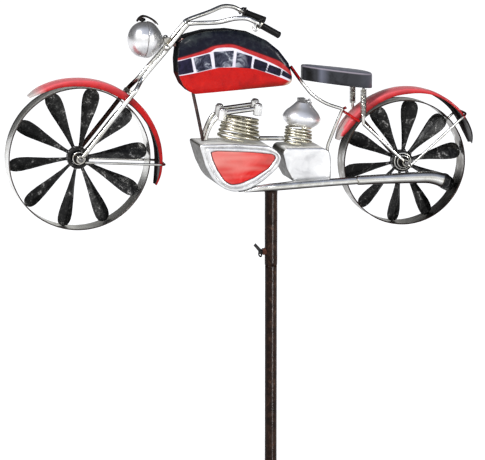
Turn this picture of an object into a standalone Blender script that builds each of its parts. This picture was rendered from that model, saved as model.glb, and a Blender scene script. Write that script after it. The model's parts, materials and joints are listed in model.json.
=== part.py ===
"""Motorcycle wind spinner on a garden stake, modelled at real size.

The world origin is on the pole's axis, at the underside of the step bar, where the stake
meets the soil. +Z runs up the pole. The motorcycle faces -X and its left side faces -Y.
Lengths below are millimetres. Points of the motorcycle are measured from its own origin,
which lies on the pole's axis at BIKE_Z. Points of a wheel are measured from its hub.
"""
import math

import bmesh
import bpy
from mathutils import Matrix, Vector

MM = 0.001
GAP = 0.3  # clearance between pieces that touch

# Stake
BIKE_Z = 740.0  # soil to the motorcycle's origin
POLE_R = 7.8
POLE_WALL = 1.2
SOCKET_R = 8.2
SOCKET_WALL = 1.6
SOCKET_BOTTOM = -47.0
SPIGOT = 60.0  # length of a reduced pole end
POLE_JOINT = 350.0  # height of the joint between the two pole sections
FORK_STEM_TOP = 30.0
STEP_BAR = (96.0, 18.0, 5.0)
PRONG_SPACING = 64.0
PRONG_LENGTH = 180.0
PRONG_R = 3.5
SCREW_Z = -29.0  # height of the thumb screw on the socket
SCREW_R = 2.0

# Wheels
FRONT_HUB = (-251.0, 101.0)
REAR_HUB = (173.0, 83.0)
FRONT_R = 91.0
REAR_R = 81.5
RIM_HALF = 17.0
RIM_T = 1.6
VANES = 10
VANE_PITCH = 32.0  # twist of a vane out of the wheel's plane, degrees
VANE_T = 1.2
FRONT_VANE_START = 12.6  # first vane, degrees clockwise from the top
REAR_VANE_START = 8.0
HUB_R = 9.0
HUB_RING_R = 14.0
HUB_HALF = 11.0
BUSH_R = 3.6
AXLE_R = 2.2

# Frame rods
ROD_R = 2.9
CROWN_ANGLE = 52.3  # where the fork crown crosses the front fender, degrees
CROWN_T = 4.8
STRUT_R = 2.2
STRUT_EYE_R = 4.6
STRUT_TAIL = 7.4  # a strut's length beyond the axle
STRAP_R = 1.8
WIRE_R = 1.6
LEG_Y = 22.0
STRUT_Y = 21.5
POST_Y = 23.4
NECK_Y = 10.0

# Sheet metal
SHEET = 1.2
SPRING_R = 4.2
FENDER_HALF = 18.5
FRONT_FENDER = (-250.0, 99.0)  # centre x and z of its angles
REAR_FENDER = (178.0, 82.0)
# Hand-rolled profiles from tail to nose: degrees, outer radius, left flange, right flange
FRONT_PROFILE = ((-20, 106.6, 3.4, 3.2), (0, 106.0, 6.0, 5.0), (30, 104.2, 9.3, 5.0),
                 (60, 102.9, 10.5, 5.0), (90, 102.3, 8.6, 5.0), (110, 103.4, 6.2, 4.5),
                 (128, 104.6, 3.5, 3.2))
REAR_PROFILE = ((14, 92.5, 3.2, 3.2), (30, 95.2, 3.3, 6.0), (45, 97.2, 4.6, 6.0),
                (70, 97.6, 4.6, 5.0), (90, 97.0, 7.2, 5.0), (112, 95.8, 7.4, 5.0),
                (130, 96.4, 8.4, 5.0), (146, 97.9, 7.5, 5.0), (161, 98.5, 3.5, 3.2))
FENDER_TIP = 12.0  # degrees over which a fender's end is rounded off
TANK_HALF = 15.0
ENGINE_HALF = 31.0
GEARBOX_HALF = 30.0
EXHAUST_Y = -37.6

# Lower rail, a strip that rises to the rear
RAIL_X0 = -44.0
RAIL_X1 = 64.0
RAIL_Z0 = 52.1
RAIL_SLOPE = 0.087
RAIL_T = 4.0

# Seat, which slopes down to the rear
SEAT_X0 = 40.0
SEAT_FRONT_Z = 211.0
SEAT_SLOPE = 0.135
SEAT_SKIRT = 19.0
LEFT_POST = (115.4, 136.0, 144.0)  # x, height of the bend, foot of the spring
RIGHT_POST = (113.6, 150.0, 156.5)


# ---------------------------------------------------------------- helpers

def clear_scene():
    for old in list(bpy.data.objects):
        bpy.data.objects.remove(old, do_unlink=True)


def material(name, colour, roughness, metallic):
    mat = bpy.data.materials.new(name)
    mat.use_nodes = True
    shader = mat.node_tree.nodes["Principled BSDF"]
    shader.inputs["Base Color"].default_value = (*colour, 1.0)
    shader.inputs["Roughness"].default_value = roughness
    shader.inputs["Metallic"].default_value = metallic
    mat.diffuse_color = (*colour, 1.0)
    return mat


def frame_at(name, x, y, z, parent=None):
    """An empty that carries the pieces of one body."""
    empty = bpy.data.objects.new(name, None)
    empty.location = (x * MM, y * MM, z * MM)
    empty.parent = parent
    bpy.context.scene.collection.objects.link(empty)
    return empty


def add_piece(name, bm, look, parent, smooth_angle=40.0):
    """Turn a bmesh in millimetres into one named object under its parent."""
    bmesh.ops.recalc_face_normals(bm, faces=bm.faces)
    bmesh.ops.scale(bm, vec=(MM, MM, MM), verts=bm.verts)
    mesh = bpy.data.meshes.new(name)
    bm.to_mesh(mesh)
    bm.free()
    mesh.shade_smooth()
    mesh.set_sharp_from_angle(angle=math.radians(smooth_angle))
    mesh.materials.append(material(name + "_finish", *look))
    piece = bpy.data.objects.new(name, mesh)
    piece.parent = parent
    bpy.context.scene.collection.objects.link(piece)
    return piece


def modify(piece, bm, operation):
    """Add a solid to a piece, or cut one from it, with an exact Boolean."""
    tool = add_piece(f"{piece.name}_{operation.lower()}_{len(piece.modifiers)}", bm,
                     SILVER, piece.parent)
    tool.hide_render = True
    tool.display_type = "WIRE"
    boolean = piece.modifiers.new(operation.title(), "BOOLEAN")
    boolean.operation = operation
    boolean.object = tool


def rings_to_mesh(rings, closed=False):
    """Skin a list of equal rings of points. Open ends get a flat cap."""
    bm = bmesh.new()
    loops = [[bm.verts.new(p) for p in ring] for ring in rings]
    count = len(loops[0])
    pairs = list(zip(loops, loops[1:]))
    if closed:
        pairs.append((loops[-1], loops[0]))
    for low, high in pairs:
        for i in range(count):
            j = (i + 1) % count
            bm.faces.new((low[i], low[j], high[j], high[i]))
    if not closed:
        bm.faces.new(loops[0])
        bm.faces.new(loops[-1])
    return bm


def through(points, steps):
    """A smooth curve through the points, with some steps in each span."""
    pts = [Vector(p) for p in points]
    pts = [2 * pts[0] - pts[1]] + pts + [2 * pts[-1] - pts[-2]]
    out = []
    for a, b, c, d in zip(pts, pts[1:], pts[2:], pts[3:]):
        for k in range(steps):
            t = k / steps
            out.append(0.5 * (2 * b + (c - a) * t + (2 * a - 5 * b + 4 * c - d) * t ** 2
                              + (3 * b - a - 3 * c + d) * t ** 3))
    out.append(pts[-2])
    return out


def sweep(points, radius, sides=8):
    """A round bar along the points. The radius is one number, or one for each point."""
    pts = [Vector(p) for p in points]
    radii = radius if isinstance(radius, (list, tuple)) else [radius] * len(pts)
    tangents = []
    for i in range(len(pts)):
        ahead = pts[min(i + 1, len(pts) - 1)]
        behind = pts[max(i - 1, 0)]
        tangents.append((ahead - behind).normalized())
    seed = Vector((0, 1, 0)) if abs(tangents[0].y) < 0.9 else Vector((0, 0, 1))
    normal = (seed - tangents[0] * seed.dot(tangents[0])).normalized()
    rings = []
    for point, tangent, r in zip(pts, tangents, radii):
        normal = (normal - tangent * normal.dot(tangent)).normalized()
        side = tangent.cross(normal)
        ring = []
        for k in range(sides):
            angle = 2 * math.pi * (k + 0.5) / sides
            ring.append(point + r * (math.cos(angle) * normal + math.sin(angle) * side))
        rings.append(ring)
    return rings_to_mesh(rings)


def turned(profile, origin, axis, sides=16, hollow=False):
    """Spin (radius, height) pairs about an axis. A hollow profile is a closed loop."""
    turn = Vector((0, 0, 1)).rotation_difference(Vector(axis)).to_matrix()
    rings = []
    for r, h in profile:
        ring = []
        for k in range(sides):
            angle = 2 * math.pi * (k + 0.5) / sides
            local = Vector((r * math.cos(angle), r * math.sin(angle), h))
            ring.append(turn @ local + Vector(origin))
        rings.append(ring)
    return rings_to_mesh(rings, closed=hollow)


def tube(outer, inner, low, high, origin, axis, sides=16):
    profile = [(outer, low), (outer, high), (inner, high), (inner, low)]
    return turned(profile, origin, axis, sides, hollow=True)


def rounded(corners, steps=4):
    """Round each (x, z, radius) corner of a closed outline with an arc-like curve."""
    out = []
    count = len(corners)
    for i, (x, z, r) in enumerate(corners):
        here = Vector((x, z))
        before = Vector(corners[i - 1][:2]) - here
        after = Vector(corners[(i + 1) % count][:2]) - here
        if r == 0:
            out.append(here)
            continue
        start = here + before.normalized() * min(r, before.length * 0.49)
        end = here + after.normalized() * min(r, after.length * 0.49)
        for k in range(steps + 1):
            t = k / steps
            out.append((1 - t) ** 2 * start + 2 * t * (1 - t) * here + t ** 2 * end)
    return out


def inset(outline, distance):
    """Move a closed outline inwards by a distance."""
    count = len(outline)
    area = sum(outline[i].x * outline[(i + 1) % count].y
               - outline[(i + 1) % count].x * outline[i].y for i in range(count))
    turn = 1 if area > 0 else -1
    out = []
    for i in range(count):
        before = (outline[i] - outline[i - 1]).normalized()
        after = (outline[(i + 1) % count] - outline[i]).normalized()
        mid = (before + after).normalized()
        normal = Vector((-mid.y, mid.x)) * turn
        stretch = max(0.5, abs(mid.dot(before)))
        out.append(outline[i] + normal * distance / stretch)
    return out


def at_depth(outline, y):
    return [(p.x, y, p.y) for p in outline]


def band(outline, thickness, y0, y1):
    """A strip bent round a closed outline, open on both sides."""
    inner = inset(outline, thickness)
    rings = [at_depth(outline, y0), at_depth(outline, y1),
             at_depth(inner, y1), at_depth(inner, y0)]
    return rings_to_mesh(rings, closed=True)


def drawn_in(outline, distance):
    """Pull a closed outline towards its middle, which never makes it cross itself."""
    middle = sum(outline, Vector((0, 0))) / len(outline)
    return [p + (middle - p).normalized() * distance for p in outline]


def pressed_plate(outline, y, side, steps):
    """A pressed side plate. steps holds (inset, rise) pairs, and side is -1 or 1."""
    back = [at_depth(outline, y)]
    front = [at_depth(outline, y + side * SHEET)]
    for distance, rise in steps:
        ring = drawn_in(outline, distance)
        back.append(at_depth(ring, y + side * rise))
        front.append(at_depth(ring, y + side * (rise + SHEET)))
    return rings_to_mesh(list(reversed(back)) + front)


def profile_at(profile, degrees):
    """The outer radius and the two flange depths of a fender at an angle."""
    for low, high in zip(profile, profile[1:]):
        if degrees <= high[0]:
            break
    share = (degrees - low[0]) / (high[0] - low[0])
    return [a + (b - a) * share for a, b in zip(low[1:], high[1:])]


def on_arc(centre, profile, degrees, above):
    """A point (x, z) above a fender's outer surface."""
    angle = math.radians(degrees)
    reach = profile_at(profile, degrees)[0] + above
    return Vector((centre[0] + reach * math.cos(angle), centre[1] + reach * math.sin(angle)))


def fender(centre, profile, stations=20):
    """A rolled mudguard of channel section along an arc, rounded at both ends."""
    start = profile[0][0]
    end = profile[-1][0]
    rings = []
    for i in range(stations + 1):
        degrees = start + (end - start) * i / stations
        from_end = min(degrees - start, end - degrees)
        narrow = 0.45 + 0.55 * math.sin(min(from_end / FENDER_TIP, 1.0) * math.pi / 2)
        half = FENDER_HALF * narrow
        top, left, right = profile_at(profile, degrees)
        outside = [(-half, top - left), (-half, top - 2.4), (-half + 4.0, top - 0.8),
                   (0.0, top), (half - 4.0, top - 0.8), (half, top - 2.4),
                   (half, top - right)]
        inside = [(half - SHEET, top - right), (half - SHEET, top - 3.0),
                  (half - 4.5, top - 0.8 - SHEET), (0.0, top - SHEET),
                  (-half + 4.5, top - 0.8 - SHEET), (-half + SHEET, top - 3.0),
                  (-half + SHEET, top - left)]
        angle = math.radians(degrees)
        ring = []
        for y, r in outside + inside:
            ring.append((centre[0] + r * math.cos(angle), y, centre[1] + r * math.sin(angle)))
        rings.append(ring)
    return rings_to_mesh(rings)


def coil(base, lean, height, low_r, high_r, turns, wire, steps=10, sides=5):
    """An open wire coil whose axis leans towards +X by some degrees."""
    tilt = math.radians(lean)
    across = Vector((math.cos(tilt), 0, -math.sin(tilt)))
    along = Vector((math.sin(tilt), 0, math.cos(tilt)))
    points = []
    total = int(turns * steps)
    for k in range(total + 1):
        share = k / total
        angle = 2 * math.pi * turns * share + math.pi / 2
        r = low_r + (high_r - low_r) * share
        points.append(Vector(base) + along * height * share
                      + r * (math.cos(angle) * across + math.sin(angle) * Vector((0, -1, 0))))
    return sweep(points, wire, sides)


def box(x0, x1, y0, y1, z0, z1):
    rings = [[(x0, y0, z), (x1, y0, z), (x1, y1, z), (x0, y1, z)] for z in (z0, z1)]
    return rings_to_mesh(rings)


# ---------------------------------------------------------------- finishes

SILVER = ((0.62, 0.62, 0.60), 0.35, 0.9)
CHROME = ((0.70, 0.70, 0.72), 0.18, 1.0)
RED = ((0.60, 0.02, 0.02), 0.30, 0.2)
NAVY = ((0.02, 0.02, 0.04), 0.35, 0.2)
BLACK = ((0.03, 0.03, 0.03), 0.45, 0.3)
BRONZE = ((0.06, 0.035, 0.025), 0.45, 0.6)
GREY = ((0.20, 0.19, 0.18), 0.45, 0.7)
BRASS = ((0.55, 0.42, 0.18), 0.35, 1.0)


# ---------------------------------------------------------------- the stake

def build_stake(stake):
    bar_x, bar_y, bar_z = STEP_BAR
    spigot_r = POLE_R - POLE_WALL - GAP
    ground_fork = add_piece("ground_fork", box(-bar_x / 2, bar_x / 2, -bar_y / 2, bar_y / 2,
                                               0, bar_z), BRONZE, stake)
    stem = [(POLE_R, bar_z - 1), (POLE_R, FORK_STEM_TOP), (spigot_r, FORK_STEM_TOP),
            (spigot_r, FORK_STEM_TOP + SPIGOT)]
    modify(ground_fork, turned(stem, (0, 0, 0), (0, 0, 1), 16), "UNION")
    for x in (-PRONG_SPACING / 2, PRONG_SPACING / 2):
        prong = [(1.0, -PRONG_LENGTH), (PRONG_R, 20 - PRONG_LENGTH), (PRONG_R, 1)]
        modify(ground_fork, turned(prong, (x, 0, 0), (0, 0, 1), 10), "UNION")

    for name, low, high in (("lower_pole", FORK_STEM_TOP, POLE_JOINT),
                            ("upper_pole", POLE_JOINT, BIKE_Z + SOCKET_BOTTOM)):
        inner = POLE_R - POLE_WALL
        profile = [(POLE_R, low + GAP), (POLE_R, high), (spigot_r, high),
                   (spigot_r, high + SPIGOT), (spigot_r - POLE_WALL, high + SPIGOT),
                   (spigot_r - POLE_WALL, high - POLE_WALL), (inner, high - POLE_WALL * 2),
                   (inner, low + GAP)]
        add_piece(name, turned(profile, (0, 0, 0), (0, 0, 1), 16, hollow=True), BRONZE, stake)


def build_socket(bike, thumb):
    """The tube under the motorcycle that drops over the pole, and its clamp screw."""
    top = RAIL_Z0 + (0 - RAIL_X0) * RAIL_SLOPE - RAIL_T / 2 - 1.0
    socket = add_piece("socket_tube", tube(SOCKET_R, SOCKET_R - SOCKET_WALL,
                                           SOCKET_BOTTOM + GAP, top, (0, 0, 0), (0, 0, 1)),
                       BRONZE, bike)
    boss_end = SOCKET_R + 3.6
    modify(socket, turned([(5.0, SOCKET_R - 1.2), (5.0, boss_end)], (0, 0, SCREW_Z),
                          (-1, 0, 0), 6), "UNION")
    modify(socket, turned([(SCREW_R + GAP, 2.0), (SCREW_R + GAP, boss_end + 2)],
                          (0, 0, SCREW_Z), (-1, 0, 0), 12), "DIFFERENCE")
    tip = POLE_R + GAP
    shank = [(SCREW_R, tip), (SCREW_R, boss_end + 0.5), (3.2, boss_end + 0.5),
             (3.2, boss_end + 4.0)]
    screw = add_piece("thumb_screw", turned(shank, (0, 0, 0), (-1, 0, 0), 12), BLACK, thumb)
    root = -boss_end - 2.5
    wing = [Vector(p) for p in ((root + 1.5, -2.0), (root + 0.5, 3.0), (root - 6.5, 10.5),
                                (root - 8.5, 8.5), (root - 2.0, 1.0), (root - 2.0, -3.5),
                                (root + 0.6, -7.0), (root + 1.6, -6.0))]
    rings = [at_depth(wing, -1.4), at_depth(wing, 1.4)]
    modify(screw, rings_to_mesh(rings), "UNION")


# ---------------------------------------------------------------- wheels

def vane(radius, degrees):
    """One petal vane: a narrow neck at the hub, widest near its rounded tip."""
    root = HUB_RING_R - 1.5
    tip = radius - RIM_T - GAP
    length = tip - root
    stations = [(0.0, 2.6), (0.30, 5.4), (0.60, 9.6), (0.82, 12.2), (0.94, 10.4),
                (0.985, 5.5)]
    pitch = math.radians(VANE_PITCH)
    turn = Matrix.Rotation(math.radians(degrees), 3, Vector((0, 1, 0)))
    rings = []
    for share, half in stations:
        height = root + length * share
        ring = []
        for side, rise in ((-0.86, 0.0), (0, 1.6), (1, 0.0)):
            across = side * half
            ring.append((across * math.cos(pitch) - rise * math.sin(pitch),
                         -across * math.sin(pitch) - rise * math.cos(pitch), height))
        for side, rise in ((1, -VANE_T), (0, 1.6 - VANE_T), (-0.86, -VANE_T)):
            across = side * half
            ring.append((across * math.cos(pitch) - rise * math.sin(pitch),
                         -across * math.sin(pitch) - rise * math.cos(pitch), height))
        rings.append([turn @ Vector(p) for p in ring])
    return rings_to_mesh(rings)


def build_wheel(prefix, wheel, radius, first_vane, bike, hub):
    hub_x, hub_z = hub
    axis = (0, 1, 0)
    rim = tube(radius, radius - RIM_T, -RIM_HALF, RIM_HALF, (0, 0, 0), axis, 36)
    add_piece(f"{prefix}_rim", rim, SILVER, wheel)
    ring = tube(HUB_RING_R, HUB_R + GAP, -6.0, 6.0, (0, 0, 0), axis, 20)
    vanes = add_piece(f"{prefix}_vanes", ring, BLACK, wheel)
    for k in range(VANES):
        modify(vanes, vane(radius, first_vane + 360.0 / VANES * k), "UNION")
    profile = [(BUSH_R + GAP, -HUB_HALF), (5.5, -HUB_HALF), (HUB_R, -HUB_HALF + 3),
               (HUB_R, HUB_HALF - 3), (5.5, HUB_HALF), (BUSH_R + GAP, HUB_HALF)]
    add_piece(f"{prefix}_hub", turned(profile, (0, 0, 0), axis, 20, hollow=True),
              SILVER, wheel)
    bush = tube(BUSH_R, AXLE_R + GAP, -HUB_HALF - 1.5, HUB_HALF + 1.5, (0, 0, 0), axis, 12)
    add_piece(f"{prefix}_bush", bush, BRASS, wheel)

    inner = HUB_HALF + 1.5 + GAP
    half = [(AXLE_R, inner), (4.0, inner), (4.0, LEG_Y - 2.6), (AXLE_R, LEG_Y - 2.6),
            (AXLE_R, LEG_Y + 2.4), (4.4, LEG_Y + 2.4), (4.4, LEG_Y + 4.4), (2.6, LEG_Y + 6.0)]
    profile = [(r, -h) for r, h in reversed(half)] + half
    add_piece(f"{prefix}_axle", turned(profile, (hub_x, 0, hub_z), axis, 12), SILVER, bike)


# ---------------------------------------------------------------- frame and fork

def eyelet(piece, x, y, z, radius):
    """The flattened eye at the end of a rod, which the axle passes through."""
    modify(piece, turned([(radius, -1.9), (radius, 1.9)], (x, y, z), (0, 1, 0), 14), "UNION")
    modify(piece, turned([(AXLE_R + GAP, -6), (AXLE_R + GAP, 6)], (x, y, z), (0, 1, 0), 12),
           "DIFFERENCE")


def bar_route(side):
    """The handlebar from the top of the neck to the grip, for one side."""
    lift = 0.0 if side < 0 else 5.0
    return [(-133, side * NECK_Y, 241), (-113, side * NECK_Y, 264.5),
            (-105.5, side * 13.5, 268.5 + lift * 0.4), (-76, side * 26, 270.5 + lift * 1.6),
            (-56, side * 35, 275.5 + lift * 1.8), (-42, side * 40.5, 276 + lift * 1.5),
            (-33, side * 43, 272.5 + lift * 1.4), (-27, side * 43, 269.3 + lift * 1.4)]


def build_handlebar_end(bike, name, side):
    """The grip and the lever collar in front of it."""
    start = Vector(bar_route(side)[-1])
    end = Vector((1.6, side * 38.5, 253.2 if side < 0 else 264.8))
    axis = (end - start).normalized()
    length = (end - start).length
    grip = [(3.6, 3.2), (4.3, 4.6), (4.3, length - 2), (3.0, length)]
    add_piece(f"grip_{name}", turned(grip, start, axis, 12), BLACK, bike)
    collar = add_piece(f"lever_collar_{name}", turned([(7.0, 0.5), (7.0, 2.7)], start, axis,
                                                      16), SILVER, bike)
    lever_root = start + axis * 1.5 + Vector((0, side * 3, -3))
    lever_end = start + Vector((-5.5, side * 6.5, -5.0))
    modify(collar, sweep([lever_root, lever_end], [1.4, 2.4], 8), "UNION")


def build_fork(bike):
    hub_x, hub_z = FRONT_HUB
    for name, side in (("left", -1), ("right", 1)):
        leg = [(hub_x + 3.4, side * LEG_Y, hub_z + 3.9), (-225, side * LEG_Y, 132),
               (-188, side * LEG_Y, 177), (-179.4, side * (LEG_Y - 1.0), 187),
               (-171, side * (NECK_Y + 2.0), 197.5), (-163, side * NECK_Y, 207)]
        route = [Vector(p) for p in leg] + through(bar_route(side), 2)
        fork = add_piece(f"fork_{name}", sweep(route, ROD_R, 8), SILVER, bike)
        eyelet(fork, hub_x, side * LEG_Y, hub_z, 5.4)
        build_handlebar_end(bike, name, side)
    spot = on_arc(FRONT_FENDER, FRONT_PROFILE, CROWN_ANGLE, CROWN_T / 2 + 2 * GAP)
    middle = Vector((spot.x, 0, spot.y))
    half = LEG_Y - ROD_R - 2 * GAP
    crown = box(middle.x - 3, middle.x + 3, -half, half, middle.z - CROWN_T / 2,
                middle.z + CROWN_T / 2)
    turn = Matrix.Rotation(math.radians(90 - CROWN_ANGLE), 3, "Y")
    bmesh.ops.rotate(crown, cent=middle, matrix=turn, verts=crown.verts)
    add_piece("fork_crown", crown, SILVER, bike)
    lug = box(-129.4, -124.6, -6.6, 6.6, 239, 246)
    add_piece("head_lug", lug, BRONZE, bike)


def build_headlight(bike):
    centre = (-163.0, 0.0, 248.0)
    tilt = math.radians(6)
    axis = (-math.cos(tilt), 0, math.sin(tilt))
    bowl = [(23.0, 0.4), (22.6, 6), (20.4, 12), (16.2, 17), (10.0, 21), (3.5, 22.8)]
    add_piece("headlight_bowl", turned(bowl, centre, axis, 20), CHROME, bike)
    shell = [(23.6, 0), (22.4, -6), (18.8, -11.5), (13.5, -16.5), (8.5, -20), (5.0, -22)]
    shell_piece = add_piece("headlight_shell", turned(shell, centre, axis, 20), CHROME, bike)
    peak = [(-11.5, 23.5), (-8.0, 28.5), (-3.5, 31.3), (3.0, 29.8), (11.0, 25.2),
            (15.0, 20.0), (13.0, 16.0), (4.0, 21.5), (0.0, 27.5), (-4.0, 28.6), (-8.0, 25.5)]
    outline = [Vector((centre[0] + x, centre[2] + z)) for x, z in peak]
    modify(shell_piece, rings_to_mesh([at_depth(outline, -6.0), at_depth(outline, 6.0)]),
           "UNION")
    bracket = [Vector(p) for p in ((-140.2, 241.0), (-140.4, 249.5), (-136.0, 251.5),
                                   (-129.8, 249.0), (-137.5, 238.8))]
    bracket_piece = add_piece("headlight_bracket", rings_to_mesh(
        [at_depth(bracket, -6.7), at_depth(bracket, 6.7)]), SILVER, bike)
    modify(bracket_piece, turned([(3.4, 0), (3.4, 3.4)], (-136.0, 2.5, 250.0), (-0.5, 0, 0.87),
                                 8), "UNION")


def build_tank(bike):
    outline = tank_outline()
    add_piece("tank_band", band(outline, SHEET, -TANK_HALF, TANK_HALF), NAVY, bike)
    steps = [(3.0, 1.6), (9.0, 3.0), (18.0, 3.8)]
    for name, side in (("left", -1), ("right", 1)):
        plate = pressed_plate(outline, side * (TANK_HALF + GAP), side, steps)
        add_piece(f"tank_{name}", plate, RED, bike)


def tank_outline():
    """The side view of the tank, from the front lower corner round to the tail."""
    corners = [(-102, 179, 0), (19, 187, 6), (24.5, 194, 6), (19, 215, 0), (6, 232, 0),
               (-10, 245, 0), (-30, 254.5, 0), (-58, 259, 0), (-88, 258, 0), (-110, 253, 0),
               (-122, 246.5, 5), (-125, 222, 0), (-124, 204, 0), (-118, 190.5, 0),
               (-109, 181.5, 0)]
    return rounded(corners, 3)


def build_frame(bike):
    spine = [(25.5, 0, 209), (35, 0, 195.5), (45, 0, 182.5), (55, 0, 171.5), (72, 0, 160.5),
             (94, 0, 152.5), (91, 0, 145), (82.8, 0, 126), (75.4, 0, 107.5),
             (74.2, 0, 102.5), (74.1, 0, 84.0)]
    route = through(spine[:6], 3) + [Vector(p) for p in spine[6:]]
    add_piece("frame_spine", sweep(route, STRUT_R, 8), SILVER, bike)
    tube_route = [(-102.0, 0, 178.2), (-95.5, 0, 148), (-89.3, 0, 117.4)]
    add_piece("down_tube", sweep(through(tube_route, 2), STRUT_R, 8), SILVER, bike)
    rail = []
    for x in (RAIL_X0, RAIL_X1):
        z = RAIL_Z0 + (x - RAIL_X0) * RAIL_SLOPE
        rail.append([(x, -6, z - RAIL_T / 2), (x, 6, z - RAIL_T / 2),
                     (x, 6, z + RAIL_T / 2), (x, -6, z + RAIL_T / 2)])
    add_piece("lower_rail", rings_to_mesh(rail), BLACK, bike)


# ---------------------------------------------------------------- engine

def build_engine(bike):
    corners = [(-101, 116.5, 4), (-53, 116, 0), (-6, 111.5, 9), (6.5, 98, 5), (2, 84, 6),
               (-20, 65.5, 8), (-40, 56.5, 6), (-55.5, 54.5, 6), (-69.5, 59, 8),
               (-83.5, 71, 8), (-93, 90, 0)]
    outline = rounded(corners, 3)
    add_piece("engine_band", band(outline, SHEET, -ENGINE_HALF + SHEET,
                                  ENGINE_HALF - SHEET), GREY, bike)
    for name, side in (("left", -1), ("right", 1)):
        plate = pressed_plate(outline, side * (ENGINE_HALF - SHEET + GAP), side,
                              [(2.0, 1.0), (9.0, 0.4)])
        add_piece(f"engine_cover_{name}", plate, RED, bike)

    corners = [(8.5, 102, 0), (12, 108.5, 6), (62, 107.2, 6), (70, 102, 6), (71.5, 88, 0),
               (71, 64.2, 5), (23, 64.2, 3), (13.5, 82, 0)]
    outline = rounded(corners, 3)
    add_piece("gearbox_band", band(outline, SHEET, -GEARBOX_HALF + SHEET,
                                   GEARBOX_HALF - SHEET), GREY, bike)
    for name, side in (("left", -1), ("right", 1)):
        plate = pressed_plate(outline, side * (GEARBOX_HALF - SHEET + GAP), side,
                              [(4.0, 1.2), (10.0, 1.8)])
        add_piece(f"gearbox_cover_{name}", plate, SILVER, bike)


def build_cylinders(bike):
    add_piece("front_coil", coil((-43.8, 0, 119.0), 9, 24.6, 25.0, 20.6, 6, 1.6), SILVER, bike)
    add_piece("rear_coil", coil((35, 0, 112.9), 5, 15.6, 16.4, 16.0, 4, 1.6), SILVER, bike)

    for name, side, lift in (("left", -1, 0.0), ("right", 1, 5.5)):
        y = side * 9.0
        front = Vector((-66.0, y, 152.6 + lift))
        back = Vector((-19.5, y, 157.6 + lift))
        bar = add_piece(f"rocker_bar_{name}", sweep([front, back], 2.4, 8), SILVER, bike)
        for end in (front, back):
            nut = [(3.8, -6.0), (5.0, -4.6), (5.0, 4.6), (3.8, 6.0)]
            modify(bar, turned(nut, end, (0.15, 0, 0.99), 6), "UNION")
        pipe = [(-72.6, y, 147.5 + lift), (-79, y, 140.5 + lift * 0.6), (-84.5, y, 130.5),
                (-88, y, 119.4)]
        add_piece(f"header_pipe_{name}", sweep(through(pipe, 2), 2.5, 8), SILVER, bike)

    add_piece("intake_pipe", sweep([(-15.4, 0, 118.0), (15.4, 0, 117.0)], 3.0, 8), SILVER,
              bike)
    lean = math.radians(8)
    axis = (math.sin(lean), 0, math.cos(lean))
    bulb = [(16.0, 0), (18.0, 1.2), (18.6, 3.4), (23.2, 7.4), (24.8, 11), (23.6, 15),
            (19.0, 20.4), (13.4, 25.6), (9.8, 29.5), (9.0, 31)]
    bulb_piece = add_piece("cylinder_bulb", turned(bulb, (38.4, 0, 131.6), axis, 20), CHROME,
                           bike)
    for x, z in ((38.0, 166.0), (47.0, 163.4)):
        nut = [(4.2, -5.5), (4.2, 4.4), (3.4, 5.4)]
        modify(bulb_piece, turned(nut, (x, -1.0, z), (0.1, 0, 0.995), 6), "UNION")


def build_exhaust(bike):
    pipe = [(-42, -29.5, 54.4, 1.0), (-32, -31, 56.2, 2.6), (-20, -33.5, 58.6, 4.4),
            (-8, EXHAUST_Y + 1, 60.0, 5.0), (8, EXHAUST_Y, 60.9, 5.0),
            (60, EXHAUST_Y, 63.3, 5.0), (104, EXHAUST_Y, 65.0, 5.0)]
    add_piece("exhaust_pipe", sweep([p[:3] for p in pipe], [p[3] for p in pipe], 10),
              SILVER, bike)
    muffler = [(104 + GAP, 65.0, 5.6), (108, 65.1, 6.0), (135, 65.6, 6.3), (165, 66.0, 7.0),
               (195, 66.0, 7.7), (207, 64.6, 8.4), (217, 61.8, 9.2)]
    add_piece("muffler", sweep([(x, EXHAUST_Y, z) for x, z, _ in muffler],
                               [r for _, _, r in muffler], 12), SILVER, bike)
    start = Vector((217, EXHAUST_Y, 61.8))
    axis = Vector((10, 0, -2.8)).normalized()
    tip = [(9.2, GAP), (9.6, 3.0), (9.0, 6.0), (6.0, 9.0)]
    add_piece("muffler_tip", turned(tip, start, axis, 12), BLACK, bike)


# ---------------------------------------------------------------- seat and fenders

def build_seat(bike):
    half_plan = [(40.0, 5.5), (46.0, 11.0), (58.0, 17.0), (75.0, 22.5), (95.0, 26.0),
                 (112.0, 26.0), (123.0, 21.0), (129.5, 13.0), (132.0, 4.0)]
    plan = [Vector((x, -y)) for x, y in half_plan]
    plan += [Vector((x, y)) for x, y in reversed(half_plan)]
    rings = []
    for distance, height in ((3.0, -SEAT_SKIRT), (0.0, 1 - SEAT_SKIRT), (0.0, -2.0), (1.2, 0.0)):
        ring = []
        for p in inset(plan, distance):
            top = SEAT_FRONT_Z - (p.x - SEAT_X0) * SEAT_SLOPE
            ring.append((p.x, p.y, top + height))
        rings.append(ring)
    add_piece("seat", rings_to_mesh(rings), BLACK, bike)


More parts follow.
